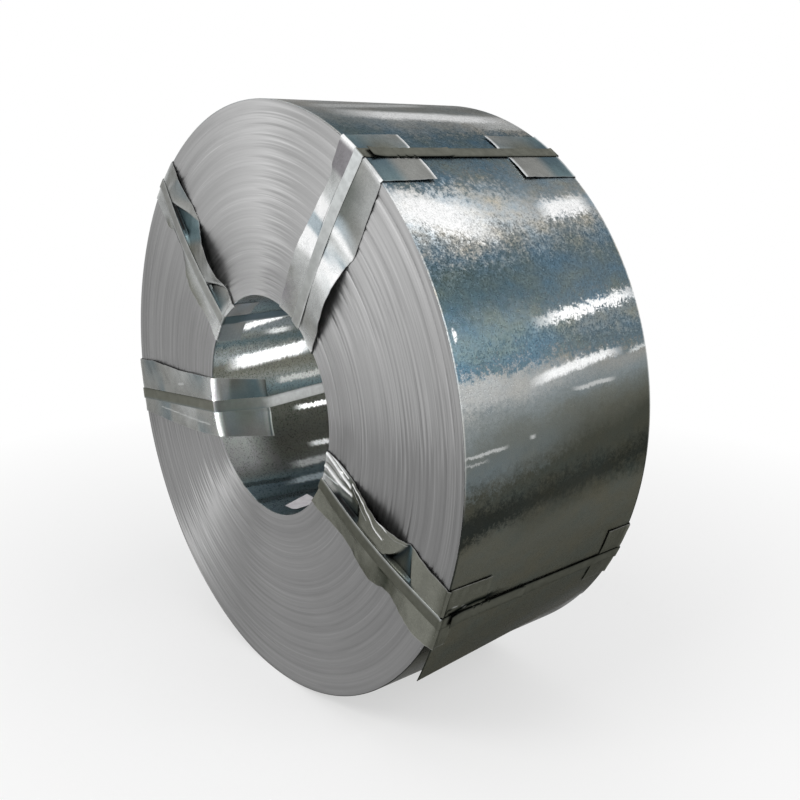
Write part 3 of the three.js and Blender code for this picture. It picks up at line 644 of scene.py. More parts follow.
def eye_edges(radius, sideways, along):
    """The two edges of a strap in the eye, turned round the eye as far as it has slid sideways."""
    turn = np.arcsin(np.reshape(sideways, (-1, 1)) / EYE)
    across = np.array([-1.0, 1.0])[None] * STRAP_HALF
    x = radius * np.cos(turn) - across * np.sin(turn)
    z = radius * np.sin(turn) + across * np.cos(turn)
    along = np.reshape(along, (-1, 1)) + np.zeros_like(x)
    return np.stack([x, along, z], -1)


def strap_path(strap):
    """The loop's two edges and its outward normal: down the front end, through the eye, up the back end
    and over the rim, each leg straight but for the bow on the ends, a half sine, and a small round bulge
    at each corner."""
    rim, eye, face = strap_seats()
    share = np.r_[0.0, np.linspace(0.002, 0.03, 8), np.linspace(0.04, 0.96, 90), np.linspace(0.97, 0.998, 8)]
    everywhere = np.ones(len(share))
    front_lean, back_lean = strap["lean"]
    tab = strap["eye_tab"] / (2 * face)
    in_eye = np.interp(share, [0, tab, 1], [front_lean, front_lean + strap["slip"][0], back_lean])

    def end_leg(lean, along):
        return (rim_edges(strap, rim * everywhere, along * everywhere),
                eye_edges(eye, lean * everywhere, along * everywhere))

    front_rim, front_eye = end_leg(front_lean, -face)
    back_rim, back_eye = end_leg(back_lean, face)
    down = share[:, None, None]
    legs = [
        front_rim * (1 - down) + front_eye * down,
        eye_edges(eye, in_eye, face * (2 * share - 1)),
        back_eye * (1 - down) + back_rim * down,
        rim_edges(strap, rim * everywhere, face * (1 - 2 * share)),
    ]
    lengths = [END_REACH, 2 * face, END_REACH, 2 * face]
    normals = np.array([(0.0, -1.0, 0.0), (-1.0, 0.0, 0.0), (0.0, 1.0, 0.0), (1.0, 0.0, 0.0)])
    bows = [strap["bow"], 0.0, strap["bow"], 0.0]
    edges, outs = [], []
    for k, leg in enumerate(legs):
        to_corner = np.minimum(share, 1 - share) * lengths[k]
        out = STRAP_BULGE[0] * hump(to_corner, STRAP_BULGE[1]) + bows[k] * np.sin(math.pi * share)
        blend = np.clip(to_corner / CORNER_TURN, 0, 1)[:, None]
        other = np.where(share[:, None] < 0.5, normals[k - 1], normals[(k + 1) % 4])
        mix = normals[k] * (0.5 + 0.5 * blend) + other * (0.5 - 0.5 * blend)
        edges.append(leg + (normals[k] * out[:, None])[:, None])
        outs.append(mix / np.linalg.norm(mix, axis=1, keepdims=True))
    return np.concatenate(edges), np.concatenate(outs)


def ribbon(edges, normal, angle):
    """A flat band with the strap's section, carried along its two edges and turned to its place."""
    middle, half = (edges[:, 0] + edges[:, 1]) / 2, (edges[:, 1] - edges[:, 0]) / 2
    points = middle[:, None] + half[:, None] * SECTION[:, :1] + normal[:, None] * SECTION[:, 1:] * STRAP_GAUGE
    x = points[..., 0] * math.cos(angle) - points[..., 2] * math.sin(angle)
    z = points[..., 0] * math.sin(angle) + points[..., 2] * math.cos(angle)
    return np.stack([x, points[..., 1], MID_HEIGHT + z], -1).reshape(-1, 3)


def strap_lap(strap, angle):
    """The strap's outer end, lapped over the inner one on the rim. Its two ends lift by a square, and it is
    pinched by a bell curve at each crimp of the joint."""
    along = -HALF_WIDTH + LAP_START + np.linspace(0, LAP_LENGTH, 201)
    first, last = along[0], along[-1]
    (first_lift, first_run), (last_lift, last_run) = LAP_TIPS
    lift = first_lift * ramp(along, first + first_run, first) ** 2
    lift = lift + last_lift * ramp(along, last - last_run, last) ** 2
    pinch = sum(hump(along - first - LAP_LENGTH * crimp, CRIMP_REACH) for crimp in CRIMPS)
    half = STRAP_HALF * (1 - CRIMP_PINCH * np.clip(pinch, 0, 1))
    edges = rim_edges(strap, strap_seats()[0] + STRAP_GAUGE * 1.25 + lift, along, half)
    points = ribbon(edges, np.tile([1.0, 0.0, 0.0], (len(along), 1)), angle)
    cap = np.array([[0, 1, 2, 3], [0, 3, 4, 9], [9, 4, 5, 8], [8, 5, 6, 7]])
    sides = grid_quads(len(along), len(SECTION), wrap_columns=True)
    quads = np.concatenate([sides, cap[:, ::-1], cap + (len(along) - 1) * len(SECTION)])
    return points, outward(points, quads)


def strap_colours(name, leg, lap_rings):
    """The painted shade of every point of a strap's section, ring by ring, its reflections and edge highlights:
    from rim to eye on each end, over the tab and past it in the eye, with a painted highlight on the bend,
    and one shade over the rim and along the lap."""
    shades = srgb([[SHADES[shade] for shade in row] for row in STRAP_PAINTED_SHADES[name]])
    near_rim, near_eye, on_tab, in_eye, on_rim = shades
    inwards = np.linspace(0, 1, leg)[:, None, None]
    depth = inwards * 2 * HALF_WIDTH
    on_end = near_rim * (1 - inwards) + near_eye * inwards
    tab_end = STRAPS[name]["eye_tab"] * 0.95
    past_tab = ramp(depth, tab_end, tab_end + 0.03)
    through = on_tab * (1 - past_tab) + in_eye * past_tab
    # A painted highlight where the strap bends into the eye at the front.
    bend = 0.7 * hump(depth, 0.010)
    through = through * (1 - bend) + srgb(SHADES["silver"]) * bend
    rings = np.concatenate([on_end, through, on_end[::-1], np.tile(on_rim, (leg + lap_rings, 1, 1))])
    middle, over_edge, under_edge = (rings[:, k][:, None] for k in range(3))
    over, under = ON_OVER_EDGE[None, :, None], ON_UNDER_EDGE[None, :, None]
    return (middle * (1 - over - under) + over_edge * over + under_edge * under).reshape(-1, 3)


def build_strap(name, strap, material):
    angle = math.radians(strap["angle"])
    edges, normal = strap_path(strap)
    loop = ribbon(edges, normal, angle)
    loop_quads = outward(loop, grid_quads(len(edges), len(SECTION), wrap_rows=True, wrap_columns=True))
    lap, lap_quads = strap_lap(strap, angle)
    piece = mesh_piece(f"strap_band_{name}", np.concatenate([loop, lap]),
                       np.concatenate([loop_quads, lap_quads + len(loop)]),
                       material, [f"strap_{name}"], smooth=35)
    paint(piece, strap_colours(name, len(edges) // 4, len(lap) // len(SECTION)))


# ---------------------------------------------------------------- the paper slip in the eye
def build_label(material):
    """A sheet that lies round the eye's floor. Its near corner, on the side towards the loose end, curls up
    by a square of the distance past a diagonal line."""
    width = np.linspace(-0.5, 0.5, 17)[:, None]
    length = np.linspace(-0.5, 0.5, 25)[None]
    angle = math.radians(LABEL_ANGLE) + (LABEL_WIDTH * width + LABEL_SKEW * length) / EYE
    along = LABEL_INSET + LABEL_LENGTH * (length + 0.5) - HALF_WIDTH
    curl = LABEL_CURL * np.clip((width - length) - LABEL_FOLD, 0, 1) ** 2
    wave = LABEL_WAVE * (1 + np.sin(width * 9 + length * 5))
    radius = EYE - LABEL_OFF - curl - wave
    points, quads = closed_sheet(polar(radius, angle, along), polar(radius - LABEL_GAUGE, angle, along))
    mesh_piece("eye_slip", points, outward(points, quads), material, ["bore_label"], smooth=40)


# ---------------------------------------------------------------- material helpers
NUMBER, VECTOR = "NodeSocketFloat", "NodeSocketVector"


def rgba(red, green, blue):
    return (*srgb([red, green, blue]).tolist(), 1.0)


class Value:
    """What a node gives out, so that sums of nodes read as formulas."""

    def __init__(self, graph, socket):
        self.graph, self.socket = graph, socket

    def __add__(self, other):
        return self.graph.math("ADD", self, other)

    def __sub__(self, other):
        return self.graph.math("SUBTRACT", self, other)

    def __rsub__(self, other):
        return self.graph.math("SUBTRACT", other, self)

    def __mul__(self, other):
        return self.graph.math("MULTIPLY", self, other)

    def __truediv__(self, other):
        return self.graph.math("DIVIDE", self, other)

    def __rtruediv__(self, other):
        return self.graph.math("DIVIDE", other, self)

    def __pow__(self, other):
        return self.graph.math("POWER", self, other)

    def __abs__(self):
        return self.graph.math("ABSOLUTE", self)

    __radd__, __rmul__ = __add__, __mul__


class Graph:
    """Short ways to add nodes to one node tree."""

    def __init__(self, tree):
        self.tree = tree

    def feed(self, node, inputs):
        """Give a node's inputs their links or their plain numbers."""
        for key, value in inputs.items():
            value = value.socket if isinstance(value, Value) else value
            if isinstance(value, bpy.types.NodeSocket):
                self.tree.links.new(value, node.inputs[key])
            else:
                node.inputs[key].default_value = value

    def node(self, kind, inputs, settings):
        node = self.tree.nodes.new(kind)
        for key, value in settings.items():
            setattr(node, key, value)
        self.feed(node, inputs)
        return node

    def out(self, kind, inputs, output=0, **settings):
        """One output of a new node."""
        return Value(self, self.node(kind, inputs, settings).outputs[output])

    def outs(self, kind, inputs, **settings):
        """All the outputs of a new node, by name."""
        return {output.name: Value(self, output) for output in self.node(kind, inputs, settings).outputs}

    def group(self, tree, **inputs):
        return self.outs("ShaderNodeGroup", inputs, node_tree=tree)

    def math(self, operation, a, b=0.0):
        return self.out("ShaderNodeMath", {0: a, 1: b}, operation=operation)

    def mix(self, factor, a, b, blend="MIX"):
        return self.out("ShaderNodeMix", {0: factor, 6: a, 7: b}, 2, data_type="RGBA", blend_type=blend)

    def ramp(self, factor, stops):
        """A colour ramp, every place set before any colour, as a stop that passes another changes order."""
        node = self.node("ShaderNodeValToRGB", {"Fac": factor}, {})
        elements = node.color_ramp.elements
        while len(elements) < len(stops):
            elements.new(0.5)
        for element, (place, _) in zip(elements, stops):
            element.position = place
        for element, (_, colour) in zip(elements, stops):
            element.color = colour
        return Value(self, node.outputs["Color"])

    def noise(self, vector, scale, detail=3.0, roughness=0.5):
        inputs = {"Vector": vector, "Scale": scale, "Detail": detail, "Roughness": roughness}
        return self.out("ShaderNodeTexNoise", inputs, "Fac")

    def vector(self, x, y, z):
        return self.out("ShaderNodeCombineXYZ", {0: x, 1: y, 2: z})

    def remap(self, value, low, high, to_low, to_high, kind="LINEAR"):
        inputs = {0: value, 1: low, 2: high, 3: to_low, 4: to_high}
        return self.out("ShaderNodeMapRange", inputs, interpolation_type=kind)

    def stretch(self, noise, to_low, to_high):
        """A noise's usual range, brought to a range of one's own."""
        return self.remap(noise, 0.3, 0.7, to_low, to_high)

    def scaled(self, colour, level):
        """A colour made brighter or darker."""
        grey = self.out("ShaderNodeCombineColor", {0: level, 1: level, 2: level})
        return self.mix(1.0, colour, grey, "MULTIPLY")

    def bump(self, strength, distance, height, over=None):
        """A bumpy normal, over another one if there is one."""
        inputs = {"Strength": strength, "Distance": distance, "Height": height}
        return self.out("ShaderNodeBump", inputs if over is None else dict(inputs, Normal=over))

    def place(self):
        return self.out("ShaderNodeTexCoord", {}, "Object")

    def shade(self):
        """The shades that a piece was painted with."""
        return self.out("ShaderNodeAttribute", {}, "Color", attribute_name="shade")

    def seen(self):
        """1 for what is looked at, straight, in a reflection or through glass, and 0 for what only lights."""
        path = self.outs("ShaderNodeLightPath", {})
        bent = self.math("MAXIMUM", path["Is Glossy Ray"], path["Is Transmission Ray"])
        return self.math("MAXIMUM", path["Is Camera Ray"], bent)


def new_group(name, outputs, **inputs):
    """A node group: its tree and graph, its inputs by name and the node that takes its outputs."""
    tree = bpy.data.node_groups.new(name, "ShaderNodeTree")
    for label, value in inputs.items():
        socket = tree.interface.new_socket(label, in_out="INPUT", socket_type="NodeSocketFloat")
        socket.default_value = value
    for label, kind in outputs.items():
        tree.interface.new_socket(label, in_out="OUTPUT", socket_type=kind)
    g = Graph(tree)
    return tree, g, g.outs("NodeGroupInput", {}), g.node("NodeGroupOutput", {}, {})


def eye_axes_group():
    """Place round the eye: Turn runs 0 to 1 from -180 to +180 degrees, Radius and Along are in metres."""
    tree, g, _, result = new_group("eye_axes", dict(Turn=NUMBER, Radius=NUMBER, Along=NUMBER, Wrapped=VECTOR))
    split = g.outs("ShaderNodeSeparateXYZ", {0: g.place()})
    x, along, height = split["X"], split["Y"], split["Z"] - MID_HEIGHT
    turn = g.math("ARCTAN2", height, x) / (2 * math.pi) + 0.5
    radius = g.math("SQRT", x * x + height * height)
    g.feed(result, {"Turn": turn, "Radius": radius, "Along": along, "Wrapped": g.vector(x, along, height)})
    return tree


def spangle_group():
    """Zinc crystals: each cell of a Voronoi pattern keeps one random brightness, over a finer second set."""
    tree, g, given, result = new_group("zinc_spangle", dict(Fleck=NUMBER, Height=NUMBER), Size=0.006)
    scale = 1.0 / given["Size"]
    coarse, fine = (g.outs("ShaderNodeTexVoronoi", {"Vector": g.place(), "Scale": cells})
                    for cells in (scale, scale * 2.3))
    first = g.out("ShaderNodeSeparateColor", {0: coarse["Color"]}, 0)
    second = g.out("ShaderNodeSeparateColor", {0: fine["Color"]}, 1)
    fleck = first * 0.55 + second * 0.45
    g.feed(result, {"Fleck": fleck, "Height": coarse["Distance"] + fleck})
    return tree


def gleam_group():
    """A painted gleam, a highlight or a dark streak, along the strip's width. Its mask is a smooth hump over
    the distance in degrees from a line that starts at At and turns by Slope a metre, times a ramp in from From
    and a ramp out to To."""
    tree, g, given, result = new_group("gleam", dict(Mask=NUMBER), Turn=0.5, Along=0.0, At=0.0, Spread=2.0,
                                       Slope=0.0, From=-0.1, To=0.1, Fade=0.03)
    along, degrees = given["Along"], given["Turn"] * 360.0 - 180.0
    off = abs(degrees - (given["At"] + given["Slope"] * along)) / given["Spread"]
    beside = g.remap(off, 0.3, 1.0, 1.0, 0.0, "SMOOTHSTEP")
    into = g.remap(along, given["From"], given["From"] + given["Fade"], 0.0, 1.0)
    out_of = g.remap(along, given["To"] - given["Fade"], given["To"], 1.0, 0.0)
    g.feed(result, {"Mask": beside * into * out_of})
    return tree


EYE_AXES = eye_axes_group()
SPANGLE = spangle_group()
GLEAM = gleam_group()


def new_material(name):
    """A material, its graph and its Principled shader."""
    material = bpy.data.materials.new(name)
    material.use_nodes = True
    return material, Graph(material.node_tree), material.node_tree.nodes["Principled BSDF"]


def steel(name, grazing=0.38):
    """The same, set up as bare metal. A low grazing level keeps it from brightening towards its outline."""
    material, g, shader = new_material(name)
    g.feed(shader, {"Metallic": 1.0, "Specular Tint": (grazing, grazing, grazing, 1)})
    return material, g, shader


# ---------------------------------------------------------------- tones
# Painted reflections on the strip's bright zinc skin round the rim, by angle, at the front end and at the back
# end.
NEAR_PAINTED_REFLECTIONS = {
    -180: "slate", -150: "fog", -120: "moss", -7.6: "moss", -5.8: "coal", -3.6: "coal", -1.3: "floor",
    0: "floor", 4: "dusk", 8: "lead", 11: "fog", 12.6: "pale", 15.5: "pale", 16.2: "harbour", 21.4: "teal",
    24.5: "slate", 27: "pool", 31: "pool", 34: "slate", 37.5: "grey", 41: "mist", 45: "mist", 48.5: "slate",
    66: "slate", 70: "fog", 76: "grey", 83: "grey", 87: "lead", 140: "slate",
}
FAR_PAINTED_REFLECTIONS = {
    -180: "fog", -155: "slate", -130: "moss", -12: "moss", -9.5: "floor", -7: "coal", -3: "floor",
    0: "floor", 4: "moss", 8: "lead", 11: "fog", 14: "grey", 16.2: "slate", 19: "slate", 22: "fog",
    26: "slate", 34: "slate", 38: "fog", 42: "pale", 46: "fog", 50: "fog", 56: "slate", 62: "slate",
    65: "grey", 70: "pale", 75: "lead", 84: "lead", 105: "grey", 130: "pale", 150: "slate",
}
# The same painted reflections inside the eye, all along it.
EYE_PAINTED_REFLECTIONS = {
    -180: "lead", -172: "pool", -166: "floor", -142: "floor", -132: "moss", -124: "lead", -118: "teal",
    -112: "slate", -104: "pool", -92: "slate", -70: "pool", -10: "teal", 30: "pool", 60: "slate",
    112: "lead", 122: "slate", 130: "teal", 138: "lead", 142: "fog", 147: "fog", 151: "lead", 156: "pool",
    160: "lead", 166: "fog", 170: "moss", 174: "moss", 180: "lead",
}
# How coarsely the spangle breaks the painted reflection bands up, by angle, on the skin and inside the eye.
NEAR_GRAIN = {
    -180: 0.6, -30: 0.3, -12: 0.3, -3: 0.5, 4: 0.15, 14: 0.2, 17: 0.9, 24: 1, 44: 1, 52: 1.7, 62: 0.9,
    70: 0.3, 90: 0.4, 180: 0.6,
}
EYE_GRAIN = {-180: 0.5, -150: 0.4, -120: 0.3, -60: 0.4, 120: 0.4, 140: 0.5, 155: 0.6}
# Painted highlight and painted shade along the sheared lip of the strip's two edges, round the rim and round
# the eye.
RIM_LIP_PAINTED_LIGHT = {
    -180: "grey", -60: "coal", -6: "coal", 0: "grey", 10: "silver", 60: "silver", 90: "mist", 180: "grey",
}
EYE_LIP_PAINTED_LIGHT = {
    -130: "olive", -115: "mist", -75: "mist", -50: "grey", 60: "silver", 110: "mist", 130: "teal",
    142: "deep", 172: "deep", 180: "pool",
}
# Painted gleams on the skin and in the eye, highlights and a few dark streaks, the first on the skin the
# painted shadow in the gap above a strap: angle, half spread in degrees, slope in degrees a metre, where
# along the eye they begin, end and how softly, shade and strength.
RIM_PAINTED_GLEAMS = [
    (-23.7, 1, 0, -0.2, -0.09, 0.05, "night", 0.9), (38.4, 5, -24, -0.33, -0.04, 0.11, "white", 1),
    (41.6, 2.8, 6, 0.08, 0.25, 0.04, "white", 1), (22.6, 1.3, 9, -0.055, 0.3, 0.09, "white", 1),
    (23.2, 0.9, 5, 0.02, 0.09, 0.03, "white", 1), (14, 1.1, 9.5, -0.09, 0.19, 0.06, "white", 0.85),
    (13.4, 0.6, 8, 0.2, 0.3, 0.02, "mist", 0.7), (10.6, 0.5, 3, 0.02, 0.16, 0.03, "silver", 0.8),
    (79.2, 2.4, 11, -0.24, 0.12, 0.06, "silver", 0.9), (71.2, 3.2, -6, -0.22, 0.3, 0.14, "white", 1),
    (22.7, 1.1, 0, -0.25, -0.238, 0.004, "white", 0.9), (4.4, 0.35, 2, -0.27, -0.15, 0.02, "silver", 0.7),
    (3.2, 0.3, 2, -0.27, -0.2, 0.02, "pale", 0.7), (4.8, 0.5, 1, -0.1, -0.08, 0.008, "silver", 0.7),
    (67, 2.5, 0, 0.1, 0.4, 0.08, "silver", 0.8), (-42, 5, 0, 0.21, 0.3, 0.03, "pale", 0.8),
    (120, 6, 12, -0.3, 0.1, 0.1, "mist", 0.8), (165, 4, -9, -0.1, 0.3, 0.1, "silver", 0.8),
    (-158, 3, 9, -0.3, 0.3, 0.1, "pale", 0.7),
]
EYE_PAINTED_GLEAMS = [
    (133.6, 4.3, -60, -0.215, -0.07, 0.02, "white", 1), (150.5, 3.2, 0, -0.14, -0.03, 0.04, "silver", 0.9),
    (164.6, 6.2, -22, -0.235, 0.05, 0.06, "white", 1), (-177, 3, -10, -0.09, 0.1, 0.03, "grey", 0.6),
    (-158.4, 2, 0, -0.045, 0.3, 0.04, "white", 1), (-134.4, 2.6, 0, -0.04, 0.06, 0.03, "white", 1),
    (-123.5, 4.2, 0, -0.13, 0.05, 0.05, "silver", 0.9), (-110.3, 4, 9, -0.17, 0.02, 0.05, "frost", 1),
    (-148.6, 1.4, 14, -0.28, -0.14, 0.04, "white", 0.8), (-111, 3, 25, -0.32, -0.1, 0.04, "deep", 0.8),
    (-97, 4, 20, -0.32, -0.03, 0.05, "deep", 0.7), (-142, 28, 0, -0.4, -0.1, 0.1, "pale", 0.85),
]
# Painted highlights: the ends' sheared edges catch the light in fans, painted as the grey levels of their
# peaks and of the troughs between them, by angle, and painted shade: how much duller they get towards the eye.
END_PAINTED_FANS = {
    -180: 124, -168: 121, -158: 134, -142: 142, -132: 189, -122: 153, -108: 131, -92: 139, -14: 126, 0: 130,
    12: 155, 42: 183, 74: 170, 88: 195, 110: 168, 156: 131,
}
END_PAINTED_SHADE = {0: 0, 20: 0.24, 70: 0.24, 84: 0.32, 100: 0.22, 130: 0}

SKIN_SPANGLE = 0.0030  # sizes of zinc crystals
SHEET_SPANGLE = 0.0028
UNDER_SPANGLE = 0.0036
LIP_BEGINS = 0.0042  # how far from the strip's edge the lip's shade begins and is full
LIP_FULL = 0.0022
FINE_RING = 0.0028  # pitches of the rings of the wound ends
MIDDLING_RING = 0.0060
BROAD_RING = 0.028
SWAY = 0.0035  # in turns, how far slow waves, clouds and single crystals move the border of a band
CLOUD = 0.0075
CRYSTAL = 0.013
LESS_METAL = 0.55  # how much of its metal look a guard or strap loses in the eye


def turn_at(angle):
    """An angle in degrees as a place from 0 to 1, as the colour ramps round the eye take it."""
    return (angle + 180) / 360


def by_angle(shades):
    return [(turn_at(angle), rgba(*SHADES[shade])) for angle, shade in shades.items()]


def amounts_by_angle(amounts):
    return [(turn_at(angle), (amount, amount, amount, 1.0)) for angle, amount in amounts.items()]


# ---------------------------------------------------------------- materials
def zinc(name, bands, grain, gleams, lip, slant, gain, mouth, tint, tear, fall, metal):
    """Bright zinc: painted reflections in bands along the strip's width whose borders the spangle breaks up,
    painted gleams over them, highlights and dark streaks, a painted highlight and shade on the sheared lip,
    the spangle's own flecks and a faint roll of dents. bands are the painted reflections in front and behind,
    and slant how the bands turn, in turns a metre, between two angles. gain brightens everything, mouth the
    front edge, as painted light falling into the eye. tint is how far blotches lean warm or cold. tear, in
    turns, frays the gleams, whose strength falls by a power."""
    material, g, shader = steel(name)
    axes, cells = g.group(EYE_AXES), g.group(SPANGLE, Size=SKIN_SPANGLE)
    along, turn = axes["Along"], axes["Turn"]

    def streaks(a_turn, a_metre, seed, detail=3.0, roughness=0.5):
        """Noise with so many spots a turn and so many a metre of width."""
        return g.noise(g.vector(turn * a_turn, along * a_metre, seed), 1.0, detail, roughness)

    fleck = cells["Fleck"] - 0.5
    coarse = g.ramp(turn, amounts_by_angle(grain))
    cloud = g.noise(g.place(), 95.0, 3.0, 0.65)
    sway = g.stretch(streaks(30.0, 5.0, 0.0), -SWAY, SWAY)
    broken = sway + (g.stretch(cloud, -CLOUD, CLOUD) + fleck * CRYSTAL) * coarse
    looked_up = turn + broken - along * g.remap(turn, *slant)
    drift = g.stretch(streaks(12.0, 6.0, 4.0, 2.0), -0.08, 0.08)
    # Painted reflections: the bands in front and behind, blended along the width.
    front, back = (g.ramp(looked_up, by_angle(tones)) for tones in bands)
    colour = g.mix(g.remap(along + drift, -0.17, 0.13, 0.0, 1.0), front, back)
    # Painted highlight and shade along the sheared lip of each edge.
    on_lip = g.remap(abs(along), HALF_WIDTH - LIP_BEGINS, HALF_WIDTH - LIP_FULL, 0.0, 0.85)
    colour = g.mix(on_lip, colour, g.ramp(turn, by_angle(lip)))
    cold = (1 - tint, 1 - tint / 8, 1 + tint * 0.7, 1.0)
    warm = (1 + tint, 1 + tint / 4, 1 - tint * 0.7, 1.0)
    warmth = g.ramp(streaks(70.0, 11.0, 7.0, 3.0, 0.6), [(0.34, cold), (0.5, (1, 1, 1, 1)), (0.66, warm)])
    colour = g.mix(coarse, colour, g.mix(1.0, colour, warmth, "MULTIPLY"))
    # gain scales the painted tones; mouth brightens the front edge as painted light falling into the eye.
    colour = g.scaled(colour, gain * g.remap(along, -HALF_WIDTH, -0.13, mouth, 1.0))
    flames = g.stretch(streaks(20.0, 130.0, 3.0, 3.0, 0.6), -tear, tear)
    ragged = turn + broken * 0.3 + flames
    # Painted gleams: highlights and dark streaks laid over the bands.
    for at, spread, slope, begin, finish, fade, shade, strength in gleams:
        mask = g.group(GLEAM, Turn=ragged, Along=along, At=at, Spread=spread, Slope=slope,
                       From=begin, To=finish, Fade=fade)["Mask"]
        colour = g.mix(mask ** fall * strength, colour, rgba(*SHADES[shade]))
    level = 1.0 + (fleck * coarse * 0.6 + g.stretch(cloud, -0.10, 0.10) * coarse)
    rough = g.remap(cells["Fleck"], 0.0, 1.0, 0.22, 0.42)
    dents = g.bump(0.5, 0.01, streaks(30.0, 3.0, 9.0, 2.0), over=g.bump(0.25, 0.0006, cells["Height"]))
    g.feed(shader, {"Base Color": g.scaled(colour, level), "Metallic": metal, "Roughness": rough,
                    "Normal": dents})
    return material


def zinc_skin():
    """The strip's outer face. Its painted reflection bands slant most where the far end lies in shade."""
    return zinc("zinc_skin", bands=(NEAR_PAINTED_REFLECTIONS, FAR_PAINTED_REFLECTIONS), grain=NEAR_GRAIN, gleams=RIM_PAINTED_GLEAMS, lip=RIM_LIP_PAINTED_LIGHT,
                slant=(turn_at(5), turn_at(13), 17 / 360, 2 / 360), gain=0.94, mouth=1.0, tint=0.15, tear=0.0,
                fall=1.0, metal=1.0)


def eye_skin():
    """The strip's inner face in the eye, less metallic and darker than the outside, with painted reflection
    bands that run straight, brightened towards the mouth as painted light.
    """
    return zinc("eye_skin", bands=(EYE_PAINTED_REFLECTIONS, EYE_PAINTED_REFLECTIONS), grain=EYE_GRAIN, gleams=EYE_PAINTED_GLEAMS, lip=EYE_LIP_PAINTED_LIGHT,
                slant=(0.0, 1.0, 0.0, 0.0), gain=0.57, mouth=1.6, tint=0.05, tear=0.002, fall=2.0, metal=0.45)


def under_wrap():
    """The wrap below the loose end, painted bright as a reflection of the pale floor, with fine spangle."""
    material, g, shader = steel("under_wrap", 1.0)
    fleck = g.group(SPANGLE, Size=UNDER_SPANGLE)["Fleck"]
    colour = g.mix(g.remap(fleck, 0.2, 0.8, 0.0, 1.0), rgba(214, 216, 216), rgba(246, 247, 248))
    g.feed(shader, {"Base Color": colour, "Roughness": g.remap(fleck, 0.0, 1.0, 0.3, 0.5)})
    return material


def wound_edges():
    """The ends of the coil: the sheared edges of hundreds of turns, with painted highlights in bright fans and
    painted shade towards the eye. Each ring has its own grey, its own start and finish of the bright fans,
    and here and there a bright or dark arc."""
    material, g, shader = steel("wound_edges", 1.0)
    axes = g.group(EYE_AXES)
    radius, turn = axes["Radius"], axes["Turn"]
    round_slowly = g.out("ShaderNodeVectorMath", {0: axes["Wrapped"]}, operation="NORMALIZE")
    drift = g.noise(round_slowly, 1.6, 2.0)
    ring = radius + drift * 0.004

    def rings(pitch, around, seed, detail):
        return g.noise(g.vector(ring / pitch, drift * around, seed), 1.0, detail, 0.6)

    fine = rings(FINE_RING, 3.0, 0.0, 4.0)
    middling = rings(MIDDLING_RING, 3.0, 11.0, 1.0)
    broad = rings(BROAD_RING, 2.5, 5.0, 2.0)
    arcs = g.noise(g.vector(ring / FINE_RING, turn * 9.0, 2.0), 1.0, 1.0)
    fan_start = g.stretch(middling, -0.020, 0.020) + g.stretch(fine, -0.010, 0.010)
    # Painted highlights: the bright fans of the sheared edges, each ring's fan shifted a little.
    greys = [(turn_at(angle), rgba(level, level, level)) for angle, level in END_PAINTED_FANS.items()]
    lit = g.ramp(turn + fan_start, greys)
    # Painted shade: darker towards the eye over some angles.
    painted_shade_near_eye = g.remap(radius, 0.27, 0.45, 1.0, 0.0) * g.ramp(turn, amounts_by_angle(END_PAINTED_SHADE))
    tone = g.stretch(fine, -0.13, 0.13) + g.stretch(middling, -0.06, 0.06) + g.stretch(broad, -0.07, 0.07)
    glossy_arc = g.remap(arcs, 0.60, 0.72, 0.0, 0.20) * g.remap(broad, 0.4, 0.6, 0.3, 1.0)
    dark_arc = g.remap(arcs, 0.28, 0.38, -0.05, 0.0)
    level = (1.0 + tone + glossy_arc + dark_arc) * (1.0 - painted_shade_near_eye)
    g.feed(shader, {"Base Color": g.scaled(lit, level), "Roughness": g.stretch(fine, 0.36, 0.52),
                    "Normal": g.bump(0.3, 0.001, tone)})
    return material


def slip_paper():
    """Plain off-white paper: a faint mottle of fibres."""
    material, g, shader = new_material("slip_paper")
    fibres, patches = g.noise(g.place(), 900.0, 3.0, 0.6), g.noise(g.place(), 60.0)
    colour = g.mix(g.stretch(patches, 0.0, 1.0), rgba(216, 211, 215), rgba(232, 229, 232))
    g.feed(shader, {"Base Color": g.scaled(colour, g.stretch(fibres, 0.96, 1.03)), "Roughness": 0.8,
                    "Normal": g.bump(0.3, 0.0003, fibres)})
    return material


def in_the_eye(g):
    """1 on what lies inside the eye, 0 outside it, over the bend between them."""
    axes = g.group(EYE_AXES)
    within = g.remap(axes["Radius"], EYE - OFF_EYE, EYE + 0.002, 1.0, 0.0)
    return within * g.remap(abs(axes["Along"]), HALF_WIDTH - 0.010, HALF_WIDTH - 0.002, 1.0, 0.0)


def guard_sheet():
    """Bright folded sheet: its painted fold shades, reflections and shadows, fine spangle, soft stains and
    handling marks, less metallic in the eye and darker there as painted shade.
    """
    material, g, shader = steel("guard_sheet")
    inside = in_the_eye(g)
    fleck = g.group(SPANGLE, Size=SHEET_SPANGLE)["Fleck"]
    stain = g.noise(g.place(), 22.0, 4.0, 0.6)
    # Spangle and stains, darkened inside the eye as painted shade.
    level = g.remap(fleck, 0.1, 0.9, 0.90, 1.10) * g.stretch(stain, 0.88, 1.12) * (1.0 - inside * 0.6)
    g.feed(shader, {"Base Color": g.scaled(g.shade(), level), "Metallic": 1.0 - inside * LESS_METAL,
                    "Roughness": g.stretch(stain, 0.2, 0.34) + inside * 0.25,
                    "Normal": g.bump(0.3, 0.003, stain * (1.0 - inside))})
    return material


